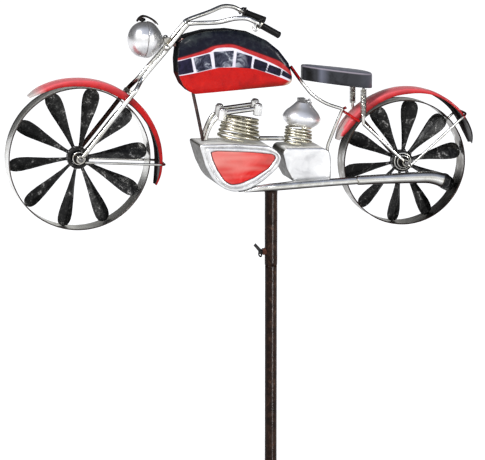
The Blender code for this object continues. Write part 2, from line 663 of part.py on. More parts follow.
def build_rear_frame(bike):
    hub_x, hub_z = REAR_HUB
    for name, side, (x, foot, spring_foot) in (("left", -1, LEFT_POST), ("right", 1, RIGHT_POST)):
        seat_z = SEAT_FRONT_Z - (x - SEAT_X0) * SEAT_SLOPE - SEAT_SKIRT
        top = Vector((x, side * POST_Y, seat_z - 0.8))
        bend = Vector((x, side * POST_Y, foot))
        eye = Vector((hub_x, side * STRUT_Y, hub_z))
        down = (eye - bend).normalized()
        post = add_piece(f"seat_post_{name}", sweep([top, bend, bend + down * 6, eye - down * 4.4],
                                                    STRUT_R, 8), SILVER, bike)
        eyelet(post, *eye, STRUT_EYE_R)
        modify(post, sweep([eye + down * (AXLE_R + 1.4), eye + down * STRUT_TAIL], 1.8, 8),
               "UNION")
        spring = tube(SPRING_R, STRUT_R + GAP, spring_foot - top.z, -0.6, top, (0, 0, 1), 10)
        add_piece(f"seat_spring_{name}", spring, SILVER, bike)

    strap = sweep(strap_route(), STRAP_R, 8)
    add_piece("rear_fender_strap", strap, RED, bike)
    down = Vector((hub_x - LEFT_POST[0], hub_z - LEFT_POST[1])).normalized()
    foot = Vector(REAR_HUB) + down * (STRUT_TAIL - 0.6)
    tail = on_arc(REAR_FENDER, REAR_PROFILE, 39.5, WIRE_R + GAP)
    add_piece("rear_stay", sweep(stay_route(foot, tail, 2.3, STRUT_Y), WIRE_R, 8), SILVER, bike)
    foot = Vector((FRONT_HUB[0], FRONT_HUB[1] - 3.3))
    tail = on_arc(FRONT_FENDER, FRONT_PROFILE, -4.3, WIRE_R + GAP)
    add_piece("front_stay", sweep(stay_route(foot, tail, 6.0, LEG_Y), WIRE_R, 8), SILVER, bike)


def strap_route():
    """The rod that crosses the front of the rear fender between the two seat posts."""
    return through([(110.4, -STRUT_Y - 1, 139.2), (104.5, -STRUT_Y, 142.5), (99.0, -17, 146.5),
                    (97.0, 0, 148.4), (97.5, 17, 149.0), (101.0, STRUT_Y, 150.0),
                    (104.6, STRUT_Y, 151.4)], 2)


def stay_route(foot, tail, clear, y):
    """A wire from beside one end of an axle, round a fender, to the other end."""
    reach = (tail - foot).normalized()
    near = foot + reach * clear
    edge = tail - reach * 5.0
    turn = tail - reach
    side = [Vector((near.x, -y, near.y)), Vector((edge.x, -y, edge.y)),
            Vector((turn.x, -y + 3.0, turn.y)), Vector((tail.x, -9, tail.y))]
    return side + [Vector((p.x, -p.y, p.z)) for p in reversed(side)]


def build_fenders(bike):
    add_piece("front_fender", fender(FRONT_FENDER, FRONT_PROFILE), RED, bike)
    add_piece("rear_fender", fender(REAR_FENDER, REAR_PROFILE), RED, bike)


def main():
    clear_scene()
    stake = frame_at("stake_origin", 0, 0, 0)
    bike = frame_at("bike_origin", 0, 0, BIKE_Z)
    thumb = frame_at("thumb_origin", 0, 0, SCREW_Z, bike)
    front = frame_at("front_wheel_origin", FRONT_HUB[0], 0, FRONT_HUB[1], bike)
    rear = frame_at("rear_wheel_origin", REAR_HUB[0], 0, REAR_HUB[1], bike)
    build_stake(stake)
    build_socket(bike, thumb)
    build_wheel("front", front, FRONT_R, FRONT_VANE_START, bike, FRONT_HUB)
    build_wheel("rear", rear, REAR_R, REAR_VANE_START, bike, REAR_HUB)
    build_fork(bike)
    build_headlight(bike)
    build_tank(bike)
    build_frame(bike)
    build_engine(bike)
    build_cylinders(bike)
    build_exhaust(bike)
    build_seat(bike)
    build_rear_frame(bike)
    build_fenders(bike)
    bpy.context.view_layer.update()


main()
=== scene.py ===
"""The looks of the motorcycle wind spinner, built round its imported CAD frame.

Lengths are millimetres until a piece is finished, and metres after that. Points of the
motorcycle are measured from its own origin, BIKE_Z above the soil on the pole's axis, and
points of a wheel from its hub.
"""
import json
import math

import bmesh
import bpy
from mathutils import Matrix, Vector, noise

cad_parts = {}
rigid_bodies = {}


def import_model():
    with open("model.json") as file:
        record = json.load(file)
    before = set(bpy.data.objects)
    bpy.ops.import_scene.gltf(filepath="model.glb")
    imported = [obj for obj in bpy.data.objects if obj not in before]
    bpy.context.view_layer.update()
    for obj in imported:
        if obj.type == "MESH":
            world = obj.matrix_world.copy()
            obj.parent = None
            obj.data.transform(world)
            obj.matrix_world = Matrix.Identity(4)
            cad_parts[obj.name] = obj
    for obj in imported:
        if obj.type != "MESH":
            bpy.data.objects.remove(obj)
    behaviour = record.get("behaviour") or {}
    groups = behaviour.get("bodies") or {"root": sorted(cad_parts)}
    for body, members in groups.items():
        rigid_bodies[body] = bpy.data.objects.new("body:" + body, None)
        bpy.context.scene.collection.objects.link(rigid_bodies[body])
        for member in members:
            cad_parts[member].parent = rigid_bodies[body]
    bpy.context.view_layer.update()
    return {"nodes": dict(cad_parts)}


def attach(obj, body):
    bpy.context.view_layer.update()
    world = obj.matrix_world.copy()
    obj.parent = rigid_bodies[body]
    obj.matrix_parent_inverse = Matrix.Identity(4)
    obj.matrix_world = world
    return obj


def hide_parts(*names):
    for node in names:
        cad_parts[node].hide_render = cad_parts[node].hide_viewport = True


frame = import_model()

MM = 0.001
GAP = 0.3
BIKE_Z = 740.0
BIKE = Vector((0, 0, BIKE_Z))
SOIL = Vector((0, 0, 0))
ACROSS = (0, 1, 0)

POLE_R = 7.8
POLE_WALL = 1.2
SPIGOT = 60.0
POLE_JOINT = 350.0
FORK_STEM_TOP = 30.0
SOCKET_R = 8.2
SOCKET_WALL = 1.6
SOCKET_BOTTOM = -47.0
SCREW_Z = -29.0
PRONG_LENGTH = 180.0

FRONT_HUB = (-251.0, 101.0)
REAR_HUB = (173.0, 83.0)
FRONT_R = 91.0
REAR_R = 81.5
RIM_HALF = 17.0
RIM_T = 1.6
HUB_RING_R = 14.0
HUB_R = 9.0
HUB_HALF = 11.0
AXLE_R = 2.2

ROD_R = 2.9
STRUT_R = 2.2
STRAP_R = 1.8
WIRE_R = 1.6
LEG_Y = 22.0
STRUT_Y = 21.5
POST_Y = 23.4
NECK_Y = 10.0
SHEET = 1.2
FENDER_HALF = 18.5
TANK_HALF = 15.0
ENGINE_HALF = 31.0
GEARBOX_HALF = 30.0
EXHAUST_Y = -37.6
CROWN_ANGLE = 52.3
SEAT_X0 = 40.0
SEAT_FRONT_Z = 211.0
SEAT_SLOPE = 0.135
SEAT_SKIRT = 19.0
LEFT_POST = (115.4, 136.0, 144.0)
RIGHT_POST = (113.6, 150.0, 156.5)
STRUT_TAIL = 7.4
RAIL_START = -44
RAIL_END = 64
FORK_EYE_R = 5.4
STRUT_EYE_R = 4.6
DENT_ROOM = 0.45
SPRING_R = 3.5
SPRING_PITCH = 1.75
VANES = 10
TANK_MIDDLE = (-52, 219)
ENGINE_MIDDLE = (-46, 88)
GEARBOX_MIDDLE = (42, 86)
SIDES = (("left", -1), ("right", 1))

FRONT_FENDER = (-250.0, 99.0)
REAR_FENDER = (178.0, 82.0)
FRONT_PROFILE = ((-20, 106.6, 3.4, 3.2), (0, 106.0, 6.0, 5.0), (30, 104.2, 9.3, 5.0),
                 (60, 102.9, 10.5, 5.0), (90, 102.3, 8.6, 5.0), (110, 103.4, 6.2, 4.5),
                 (128, 104.6, 3.5, 3.2))
REAR_PROFILE = ((14, 92.5, 3.2, 3.2), (30, 95.2, 3.3, 6.0), (45, 97.2, 4.6, 6.0),
                (70, 97.6, 4.6, 5.0), (90, 97.0, 7.2, 5.0), (112, 95.8, 7.4, 5.0),
                (130, 96.4, 8.4, 5.0), (146, 97.9, 7.5, 5.0), (161, 98.5, 3.5, 3.2))


# ---------------------------------------------------------------- mesh helpers

def skin(bm, rings, closed=False):
    """Skin equal rings of points. Open ends get a flat cap."""
    loops = [[bm.verts.new(p) for p in ring] for ring in rings]
    count = len(loops[0])
    pairs = list(zip(loops, loops[1:]))
    if closed:
        pairs.append((loops[-1], loops[0]))
    for low, high in pairs:
        for i in range(count):
            j = (i + 1) % count
            bm.faces.new((low[i], low[j], high[j], high[i]))
    if not closed:
        bm.faces.new(loops[0])
        bm.faces.new(loops[-1])


def through(points, steps):
    """A smooth curve through the points, with some steps in each span."""
    pts = [Vector(p) for p in points]
    pts = [2 * pts[0] - pts[1]] + pts + [2 * pts[-1] - pts[-2]]
    out = []
    for a, b, c, d in zip(pts, pts[1:], pts[2:], pts[3:]):
        for k in range(steps):
            t = k / steps
            out.append(0.5 * (2 * b + (c - a) * t + (2 * a - 5 * b + 4 * c - d) * t ** 2
                              + (3 * b - a - 3 * c + d) * t ** 3))
    out.append(pts[-2])
    return out


def evenly(points, step):
    """Points at an even spacing along a polyline."""
    pts = [Vector(p) for p in points]
    out = [pts[0]]
    for a, b in zip(pts, pts[1:]):
        count = max(1, round((b - a).length / step))
        out += [a.lerp(b, (k + 1) / count) for k in range(count)]
    return out


def rod(bm, points, radius, sides=16, domed=True):
    """A round bar along the points. The radius is one number, or one for each point."""
    pts = [Vector(p) for p in points]
    radii = list(radius) if isinstance(radius, (list, tuple)) else [radius] * len(pts)
    if domed:
        first, last = pts[0], pts[-1]
        wide, thick = radii[0], radii[-1]
        head = (first - pts[1]).normalized()
        foot = (last - pts[-2]).normalized()
        for angle in (35, 65, 82):
            out = 0.35 * math.sin(math.radians(angle))
            thin = math.cos(math.radians(angle))
            pts = [first + head * out * wide] + pts + [last + foot * out * thick]
            radii = [thin * wide] + radii + [thin * thick]
    tangents = []
    for i in range(len(pts)):
        tangents.append((pts[min(i + 1, len(pts) - 1)] - pts[max(i - 1, 0)]).normalized())
    seed = Vector(ACROSS) if abs(tangents[0].y) < 0.9 else Vector((0, 0, 1))
    normal = (seed - tangents[0] * seed.dot(tangents[0])).normalized()
    rings = []
    for point, tangent, r in zip(pts, tangents, radii):
        normal = (normal - tangent * normal.dot(tangent)).normalized()
        side = tangent.cross(normal)
        ring = []
        for k in range(sides):
            angle = 2 * math.pi * (k + 0.5) / sides
            ring.append(point + r * (math.cos(angle) * normal + math.sin(angle) * side))
        rings.append(ring)
    skin(bm, rings)


def lathe(bm, profile, origin=(0, 0, 0), axis=(0, 0, 1), sides=48, hollow=False):
    """Spin (radius, height) pairs about an axis. A hollow profile is a closed loop."""
    turn = Vector((0, 0, 1)).rotation_difference(Vector(axis)).to_matrix()
    rings = []
    for r, h in profile:
        ring = []
        for k in range(sides):
            angle = 2 * math.pi * (k + 0.5) / sides
            local = Vector((r * math.cos(angle), r * math.sin(angle), h))
            ring.append(turn @ local + Vector(origin))
        rings.append(ring)
    skin(bm, rings, hollow)


def curved(profile, steps=4):
    """A profile smoothed by a curve through its points."""
    return [(max(p.x, 0.02), p.y) for p in through(profile, steps)]


def ring_of(bm, outer, inner, half, origin, axis=ACROSS, sides=40, bevel=0.35):
    """A flat ring with eased edges."""
    loop = [(inner + bevel, -half), (outer - bevel, -half), (outer, -half + bevel),
            (outer, half - bevel), (outer - bevel, half), (inner + bevel, half),
            (inner, half - bevel), (inner, -half + bevel)]
    lathe(bm, loop, origin, axis, sides, hollow=True)


def torus(bm, centre, axis, radius, wire, sides=48, around=10):
    """A wire ring."""
    axis = Vector(axis).normalized()
    seed = Vector((0, 0, 1)) if abs(axis.z) < 0.9 else Vector((1, 0, 0))
    across = axis.cross(seed).normalized()
    up = across.cross(axis)
    loops = []
    for k in range(sides):
        angle = 2 * math.pi * k / sides
        out = math.cos(angle) * across + math.sin(angle) * up
        ring = []
        for j in range(around):
            turn = 2 * math.pi * j / around
            ring.append(Vector(centre) + out * (radius + wire * math.cos(turn))
                        + axis * wire * math.sin(turn))
        loops.append(ring)
    skin(bm, loops, closed=True)


def blob(bm, centre, radii, seed=0.0, rough=0.25, level=2):
    """A lump of weld metal."""
    made = bmesh.ops.create_icosphere(bm, subdivisions=level, radius=1.0)["verts"]
    for v in made:
        lump = 1.0 + rough * noise.noise(v.co * 1.7 + Vector((seed, seed * 0.7, 1.3)))
        v.co = Vector([v.co[i] * radii[i] * lump for i in range(3)]) + Vector(centre)


def nut(bm, origin, axis, across, height, dome=0.0):
    """A chamfered hex nut, with a domed cap on top if dome is more than nothing."""
    chamfer = min(0.9, height * 0.2)
    hexagon = [(across * 0.86, 0), (across, chamfer), (across, height - chamfer),
               (across * 0.86, height)]
    lathe(bm, hexagon, origin, axis, 6)
    if dome > 0:
        r = across * 0.80
        cap = [(r * math.cos(a), height - 0.2 + dome * math.sin(a))
               for a in [math.radians(d) for d in (0, 15, 32, 50, 66, 80, 88)]]
        lathe(bm, cap, origin, axis, 24)


def rounded(corners, steps=8):
    """Round each (x, z, radius) corner of a closed outline."""
    out = []
    count = len(corners)
    for i, (x, z, r) in enumerate(corners):
        here = Vector((x, z))
        before = Vector(corners[i - 1][:2]) - here
        after = Vector(corners[(i + 1) % count][:2]) - here
        if r == 0:
            out.append(here)
            continue
        start = here + before.normalized() * min(r, before.length * 0.49)
        end = here + after.normalized() * min(r, after.length * 0.49)
        for k in range(steps + 1):
            t = k / steps
            out.append((1 - t) ** 2 * start + 2 * t * (1 - t) * here + t ** 2 * end)
    return out


def polar(outline, centre, count):
    """The outline's points along equal angles from a centre."""
    centre = Vector(centre)
    out = []
    edges = list(zip(outline, outline[1:] + outline[:1]))
    for k in range(count):
        angle = 2 * math.pi * k / count
        ray = Vector((math.cos(angle), math.sin(angle)))
        best = 0.0
        for a, b in edges:
            edge = b - a
            cross = ray.x * edge.y - ray.y * edge.x
            if abs(cross) < 1e-9:
                continue
            gap = a - centre
            t = (gap.x * edge.y - gap.y * edge.x) / cross
            u = (gap.x * ray.y - gap.y * ray.x) / cross
            if t > 0 and -1e-6 <= u <= 1 + 1e-6:
                best = max(best, t)
        out.append(centre + ray * best)
    return out


def depth_inside(outline, point):
    """The shortest distance from a point to a closed outline."""
    best = 1e9
    for a, b in zip(outline, outline[1:] + outline[:1]):
        edge = b - a
        t = max(0.0, min(1.0, (point - a).dot(edge) / max(edge.length_squared, 1e-9)))
        best = min(best, (a + edge * t - point).length)
    return best


def inset(outline, distance):
    """Move a closed outline inwards by a distance."""
    count = len(outline)
    area = sum(outline[i].x * outline[(i + 1) % count].y
               - outline[(i + 1) % count].x * outline[i].y for i in range(count))
    turn = 1 if area > 0 else -1
    out = []
    for i in range(count):
        before = (outline[i] - outline[i - 1]).normalized()
        after = (outline[(i + 1) % count] - outline[i]).normalized()
        mid = (before + after).normalized()
        normal = Vector((-mid.y, mid.x)) * turn
        stretch = max(0.5, abs(mid.dot(before)))
        out.append(outline[i] + normal * distance / stretch)
    return out


def at_depth(outline, y):
    """An (x, z) outline as points at one y."""
    return [Vector((p.x, y, p.y)) for p in outline]


def hoop(bm, outline, thickness, half, bevel=0.4):
    """A strip bent round a closed outline, with eased edges."""
    inner = inset(outline, thickness)
    eased = inset(outline, bevel)
    rings = [at_depth(outline, -half + bevel), at_depth(outline, half - bevel),
             at_depth(eased, half), at_depth(inner, half), at_depth(inner, -half),
             at_depth(eased, -half)]
    skin(bm, rings, closed=True)


def crowned(depth, levels):
    """Rise at a distance from the edge, from (distance, rise) pairs."""
    for (d0, r0), (d1, r1) in zip(levels, levels[1:]):
        if depth <= d1:
            t = (depth - d0) / (d1 - d0)
            return r0 + (r1 - r0) * t
    return levels[-1][1]


def pressed(bm, outline, centre, y, side, levels, rays=200, rings=36):
    """A pressed side plate, crowned by its distance from the edge, with a flat back."""
    edge = polar(outline, centre, rays)
    centre = Vector(centre)
    stack = [at_depth(edge, y)]
    for k in range(rings):
        share = (k / rings) ** 1.25
        ring = []
        for p in edge:
            q = p.lerp(centre, share)
            ring.append(Vector((q.x, y + side * crowned(depth_inside(outline, q), levels), q.y)))
        stack.append(ring)
    stack.append([Vector((centre.x + 0.05 * math.cos(2 * math.pi * k / rays),
                          stack[-1][0].y,
                          centre.y + 0.05 * math.sin(2 * math.pi * k / rays)))
                  for k in range(rays)])
    for p in stack[-1]:
        p.y = y + side * crowned(depth_inside(outline, centre), levels)
    skin(bm, stack)


# ---------------------------------------------------------------- materials

def tone(red, green, blue):
    """A display colour, 0 to 255, as a linear one."""
    out = []
    for c in (red, green, blue):
        c /= 255.0
        out.append(c / 12.92 if c <= 0.04045 else ((c + 0.055) / 1.055) ** 2.4)
    return (*out, 1.0)


def set_stops(node, stops):
    """Fill a colour ramp from (position, linear colour) pairs."""
    while len(node.color_ramp.elements) < len(stops):
        node.color_ramp.elements.new(0.5)
    for element, (position, colour) in zip(node.color_ramp.elements, stops):
        element.position = position
        element.color = colour


class Graph:
    """A node tree under construction, with the coordinates that its textures read."""

    def __init__(self, tree, space):
        self.tree = tree
        self.place = self.add("TexCoord").outputs[space]

    def add(self, kind, **values):
        node = self.tree.nodes.new("ShaderNode" + kind)
        for name, value in values.items():
            node.inputs[name.replace("_", " ")].default_value = value
        return node

    def wire(self, source, target):
        self.tree.links.new(source, target)

    def spread(self, source, low, high, start=0.3, end=0.7):
        node = self.add("MapRange", From_Min=start, From_Max=end, To_Min=low, To_Max=high)
        self.wire(source, node.inputs["Value"])
        return node.outputs["Result"]


class Look(Graph):
    """A material under construction."""

    def __init__(self, name):
        self.mat = bpy.data.materials.new(name)
        self.mat.use_nodes = True
        super().__init__(self.mat.node_tree, "Object")
        self.shader = self.tree.nodes["Principled BSDF"]

    def set(self, **values):
        for name, value in values.items():
            self.shader.inputs[name.replace("_", " ")].default_value = value

    def noise(self, scale, detail=4.0, rough=0.55, twist=0.0, place=None):
        node = self.add("TexNoise", Scale=scale, Detail=detail, Roughness=rough, Distortion=twist)
        self.wire(place or self.place, node.inputs["Vector"])
        return node.outputs["Fac"]

    def cells(self, scale):
        node = self.add("TexVoronoi")
        node.feature = "SMOOTH_F1"
        node.inputs["Scale"].default_value = scale
        self.wire(self.place, node.inputs["Vector"])
        return node.outputs["Distance"]

    def stretched(self, x, y, z):
        node = self.add("Mapping", Scale=(x, y, z))
        self.wire(self.place, node.inputs["Vector"])
        return node.outputs["Vector"]

    def attribute(self, name):
        node = self.add("Attribute")
        node.attribute_name = name
        return node.outputs["Fac"]

    def ramp(self, source, stops):
        node = self.add("ValToRGB")
        node.color_ramp.interpolation = "EASE"
        set_stops(node, [(position, tone(*colour)) for position, colour in stops])
        self.wire(source, node.inputs["Fac"])
        return node.outputs["Color"]

    def sums(self, kind, a, b):
        node = self.add("Math")
        node.operation = kind
        for socket, value in zip(node.inputs, (a, b)):
            if isinstance(value, (int, float)):
                socket.default_value = value
            else:
                self.wire(value, socket)
        return node.outputs["Value"]

    def mix(self, share, a, b):
        node = self.add("Mix")
        node.data_type = "RGBA"
        for name, value in (("Factor_Float", share), ("A_Color", a), ("B_Color", b)):
            socket = next(s for s in node.inputs if s.identifier == name)
            if isinstance(value, tuple):
                socket.default_value = tone(*value)
            else:
                self.wire(value, socket)
        return next(s for s in node.outputs if s.identifier == "Result_Color")

    def bump(self, layers):
        """Stack (height, strength, millimetres) layers of bump."""
        last = None
        for height, strength, depth in layers:
            node = self.add("Bump", Strength=strength, Distance=depth * MM)
            self.wire(height, node.inputs["Height"])
            if last:
                self.wire(last, node.inputs["Normal"])
            last = node.outputs["Normal"]
        self.wire(last, self.shader.inputs["Normal"])

    def colour(self, source):
        self.wire(source, self.shader.inputs["Base Color"])

    def with_dye_and_light(self, colour, name, dye_and_light, start=0.1, end=0.9):
        """Lay a colour over the colour where the mesh's layer of that name says: a real dye in
        some layers, painted light and painted shade in others.
        """
        return self.mix(self.spread(self.attribute(name), 0.0, 1.0, start, end), colour, dye_and_light)

    def overlaid(self, colour, under, scale, most, start, end=0.5, detail=4.0, rough=0.7):
        """Let another colour show through, in patches, along the sharp edges."""
        edge = self.sums("MULTIPLY", self.attribute("wear"), self.noise(scale, detail, rough))
        return self.mix(self.spread(edge, 0.0, most, start, end), colour, under)

    def gloss(self, low, high, scale, detail=5.0, rough=0.65):
        """Let the roughness drift between two values."""
        drift = self.spread(self.noise(scale, detail, rough), low, high)
        self.wire(drift, self.shader.inputs["Roughness"])


def bare_metal(name, dark, mid, light, rough, dents=0.25, dent_scale=90.0, grime=None,
               metallic=1.0):
    """Hand-worked bright metal: tone drifts, fine scratches, small dents, and overspray."""
    look = Look(name)
    look.set(Metallic=metallic)
    drift = look.noise(38.0, 5.0, 0.6, 0.6)
    colour = look.ramp(drift, [(0.32, dark), (0.5, mid), (0.68, light)])
    if grime:
        colour = look.overlaid(colour, grime, 260.0, 0.85, 0.15, detail=3.0, rough=0.55)
    colour = look.with_dye_and_light(colour, "overspray", (96, 6, 10))
    # Painted shade, partly tarnish: a dull brown-black laid where the mesh's layer says, on
    # undersides, outlines and parts that sit in shade.
    colour = look.with_dye_and_light(colour, "shade_and_tarnish", (44, 30, 26))
    look.colour(colour)
    look.gloss(*rough, 150.0, 6.0, 0.7)
    scratches = look.noise(700.0, 2.0, 0.5, 0.0, look.stretched(0.25, 1.0, 1.0))
    look.bump([(look.noise(dent_scale, 2.0), dents, 0.8), (scratches, 0.03, 0.04)])
    return look.mat


def paint(name, tones, rough, coat=0.5, metallic=0.0, dimple=0.2, grime=None, scale=45.0,
          shade_and_lining=None, painted_highlight=(222, 100, 106)):
    """Sprayed paint: soft tone drift, orange peel, patchy edge wear, and, when a dark colour for
    hollows is given, layers of painted highlight and painted shade.
    """
    look = Look(name)
    look.set(Metallic=metallic, Coat_Weight=coat, Coat_Roughness=0.12, Specular_IOR_Level=0.1)
    stops = list(zip((0.30, 0.46, 0.58, 0.72), tones))
    colour = look.ramp(look.noise(scale, 5.0, 0.6, 0.8), stops)
    if grime:
        colour = look.overlaid(colour, grime, 190.0, 0.9, 0.22)
    if shade_and_lining:
        # Painted light from the mesh's layers: a pink painted highlight; a pale layer that is
        # partly painted highlight, partly rubbed-through paint; and a dark layer that is partly
        # painted shade in hollows and outlines, partly a dark inner coat.
        colour = look.with_dye_and_light(colour, "painted_highlight", painted_highlight, 0.0, 1.0)
        colour = look.with_dye_and_light(colour, "highlight_and_rubbed", (178, 168, 164))
        colour = look.with_dye_and_light(colour, "shade_and_lining", shade_and_lining, 0.3, 0.7)
    look.colour(colour)
    look.gloss(*rough, 110.0)
    look.bump([(look.noise(60.0, 2.0), dimple, 0.8), (look.noise(900.0, 2.0), 0.06, 0.06)])
    return look.mat


def hammered(name, tones, rough, metallic, scale=330.0, strength=0.55, grime=None, shine=0.12,
             swell=0.35):
    """Hammered enamel: a cellular skin over a mottled ground."""
    look = Look(name)
    look.set(Metallic=metallic, Coat_Weight=shine * 0.4, Coat_Roughness=0.2,
             Specular_IOR_Level=shine)
    cloud = look.noise(85.0, 6.0, 0.7, 1.2)
    fleck = look.noise(520.0, 3.0, 0.6)
    both = look.sums("ADD", look.sums("MULTIPLY", cloud, 0.7), look.sums("MULTIPLY", fleck, 0.3))
    colour = look.ramp(both, list(zip((0.38, 0.48, 0.56, 0.66), tones)))
    if grime:
        colour = look.overlaid(colour, grime, 240.0, 0.8, 0.2)
    # Painted highlight: near white laid where the mesh's layer says, such as along the top of a
    # casing band.
    colour = look.with_dye_and_light(colour, "painted_top_light", (242, 241, 237))
    look.colour(colour)
    look.gloss(*rough, 200.0, rough=0.7)
    look.bump([(look.cells(scale), strength, 0.5), (look.noise(120.0, 3.0), swell, 1.0)])
    return look.mat


def rubber(name, dark, light, grain_scale, strength):
    """Moulded black rubber or vinyl with a fine leather grain."""
    look = Look(name)
    look.set(Sheen_Weight=0.05, Sheen_Roughness=0.5, Specular_IOR_Level=0.14)
    colour = look.ramp(look.noise(26.0, 5.0, 0.6, 0.5), [(0.42, dark), (0.60, light)])
    # Painted light: a blue-grey painted sheen and a pale painted highlight, laid where the mesh's
    # layers say.
    colour = look.with_dye_and_light(colour, "painted_sheen", (92, 94, 106))
    look.colour(look.with_dye_and_light(colour, "painted_edge_shading", (150, 142, 152)))
    look.gloss(0.30, 0.52, 160.0, rough=0.7)
    look.bump([(look.cells(grain_scale), strength, 0.25), (look.noise(70.0, 2.0), 0.2, 0.8)])
    return look.mat


def tank_paint():
    """The tank's painted side: dark top, coachlines, a row of dark panels, red below."""
    look = Look("tank_side_paint")
    look.set(Coat_Weight=0.12, Coat_Roughness=0.12, Specular_IOR_Level=0.1)
    cloud = look.noise(70.0, 6.0, 0.7, 1.0)
    top = look.ramp(cloud, [(0.35, (4, 4, 20)), (0.5, (9, 11, 27)),
                            (0.70, (36, 41, 47))])
    # Painted sheen: higher up, the dark enamel turns a lighter grey-green.
    top = look.mix(look.spread(look.attribute("painted_sheen_height"), 0.0, 0.75, 12.0, 28.0), top,
                   look.ramp(cloud, [(0.35, (12, 13, 17)), (0.62, (58, 64, 60))]))
    patch = look.noise(90.0, 5.0, 0.65, 0.9)
    panel = look.ramp(patch, [(0.36, (14, 16, 32)), (0.50, (52, 54, 70)),
                              (0.64, (150, 154, 164))])
    panel = look.mix(look.spread(look.attribute("mottle"), 1.0, 0.0, 0.0, 1.0), panel,
                     look.ramp(patch, [(0.36, (3, 3, 22)), (0.64, (26, 22, 48))]))
    red = look.ramp(look.noise(48.0, 5.0, 0.6, 0.8),
                    [(0.32, (150, 8, 8)), (0.5, (172, 13, 10)),
                     (0.7, (188, 24, 16))])
    low_red = look.mix(look.spread(look.attribute("low_edge"), 0.75, 0.0, 0.5, 7.0), red,
                       (104, 34, 22))
    stripe = look.mix(look.spread(look.noise(160.0, 4.0), 0.0, 0.35), (158, 26, 28),
                      (196, 74, 76))
    white = look.mix(look.spread(look.noise(130.0, 4.0), 0.0, 0.5), (216, 214, 222),
                     (180, 172, 192))
    maroon = (60, 10, 18)

    def inside(name, start=-0.3, end=0.3):
        return look.spread(look.attribute(name), 0.0, 1.0, start, end)

    colour = look.mix(inside("below_white"), white, low_red)
    colour = look.mix(inside("panel", -1.0, -0.4), colour, panel)
    colour = look.mix(inside("above_white"), colour, stripe)
    colour = look.mix(inside("above_stripe"), colour, maroon)
    colour = look.mix(inside("above_line"), colour, top)
    colour = look.mix(inside("tail", -2.0, 2.5), colour, (190, 164, 146))
    look.colour(look.overlaid(colour, (24, 18, 20), 190.0, 0.9, 0.2, 0.45))
    look.gloss(0.20, 0.42, 120.0)
    look.bump([(look.noise(60.0, 3.0), 0.30, 1.2), (look.cells(300.0), 0.16, 0.25)])
    return look.mat


def tank_edge_paint():
    """The strip round the tank: dark enamel above and dark red below."""
    look = Look("tank_edge_paint")
    look.set(Coat_Weight=0.0, Specular_IOR_Level=0.0)
    cloud = look.noise(85.0, 6.0, 0.7, 1.2)
    dark = look.ramp(cloud, [(0.38, (4, 4, 9)), (0.55, (12, 13, 17)),
                             (0.68, (38, 41, 42))])
    red = look.ramp(cloud, [(0.35, (44, 4, 5)), (0.65, (84, 8, 9))])
    colour = look.mix(look.spread(look.attribute("top_paint"), 0.0, 1.0, -1.0, 1.0), red, dark)
    look.colour(look.overlaid(colour, (54, 56, 56), 190.0, 0.8, 0.2))
    look.gloss(0.24, 0.42, 120.0)
    look.bump([(look.noise(60.0, 3.0), 0.2, 0.8), (look.cells(300.0), 0.12, 0.2)])
    return look.mat


def floor_paper():
    """White paper, which glows where it runs away from the object like a lit backdrop."""
    look = Look("studio_paper")
    look.set(Roughness=0.9, Specular_IOR_Level=0.1, Emission_Color=(1.0, 1.0, 1.0, 1.0))
    look.colour(look.ramp(look.noise(3.0, 4.0), [(0.3, (214, 214, 213)),
                                                (0.7, (220, 220, 220))]))
    reach = look.add("VectorMath")
    reach.operation = "LENGTH"
    look.wire(look.place, reach.inputs[0])
    look.wire(look.spread(reach.outputs["Value"], 0.08, 0.95, 1.2, 2.7),
              look.shader.inputs["Emission Strength"])
    look.bump([(look.noise(400.0, 3.0), 0.05, 0.1)])
    return look.mat


SILVER = bare_metal("worked_silver", (182, 180, 172), (212, 211, 206), (232, 232, 231),
                    (0.16, 0.26), 0.03, 50.0, (120, 112, 92))
SILVER_COIL = bare_metal("coil_silver", (160, 154, 130), (200, 195, 176),
                         (232, 229, 216), (0.22, 0.38), 0.12, 160.0)
PALE_CAST = bare_metal("cast_silver", (196, 196, 198), (218, 218, 219),
                       (234, 234, 234), (0.34, 0.50), 0.18, 60.0, (140, 138, 130))
RIM_METAL = bare_metal("rim_metal", (196, 194, 188), (220, 219, 215), (238, 238, 237),
                       (0.20, 0.36), 0.12, 55.0, (86, 80, 66))
# Painted shade: the rear rim's metal is a darker copy of the front rim's.
SHADED_RIM = bare_metal("rear_rim_painted_shade", (58, 53, 47), (112, 108, 101),
                      (206, 206, 204), (0.22, 0.38), 0.14, 50.0, (60, 54, 46))
CHROME = bare_metal("bright_chrome", (206, 206, 206), (224, 224, 225),
                    (238, 238, 238), (0.24, 0.36), 0.05, 42.0, (120, 112, 104), 0.88)
BULB_CHROME = bare_metal("bulb_chrome", (204, 206, 214), (226, 226, 229),
                         (240, 238, 234), (0.30, 0.42), 0.05, 42.0, None, 0.82)
CAP_GREY = bare_metal("cap_grey", (142, 142, 142), (176, 176, 176),
                      (212, 212, 212), (0.30, 0.46), 0.1, 90.0, (60, 58, 58), 0.7)
NUT_SILVER = bare_metal("nut_silver", (206, 205, 202), (226, 226, 225),
                        (240, 240, 240), (0.30, 0.44), 0.05, 60.0)
# The dark brown-black given for hollows is mainly painted shade on the fenders' insides.
RED = paint("red_enamel", ((112, 4, 8), (146, 8, 11), (166, 12, 13),
                           (184, 22, 18)), (0.24, 0.40), 0.15, 0.0, 0.2, (70, 10, 12),
            shade_and_lining=(26, 20, 20))
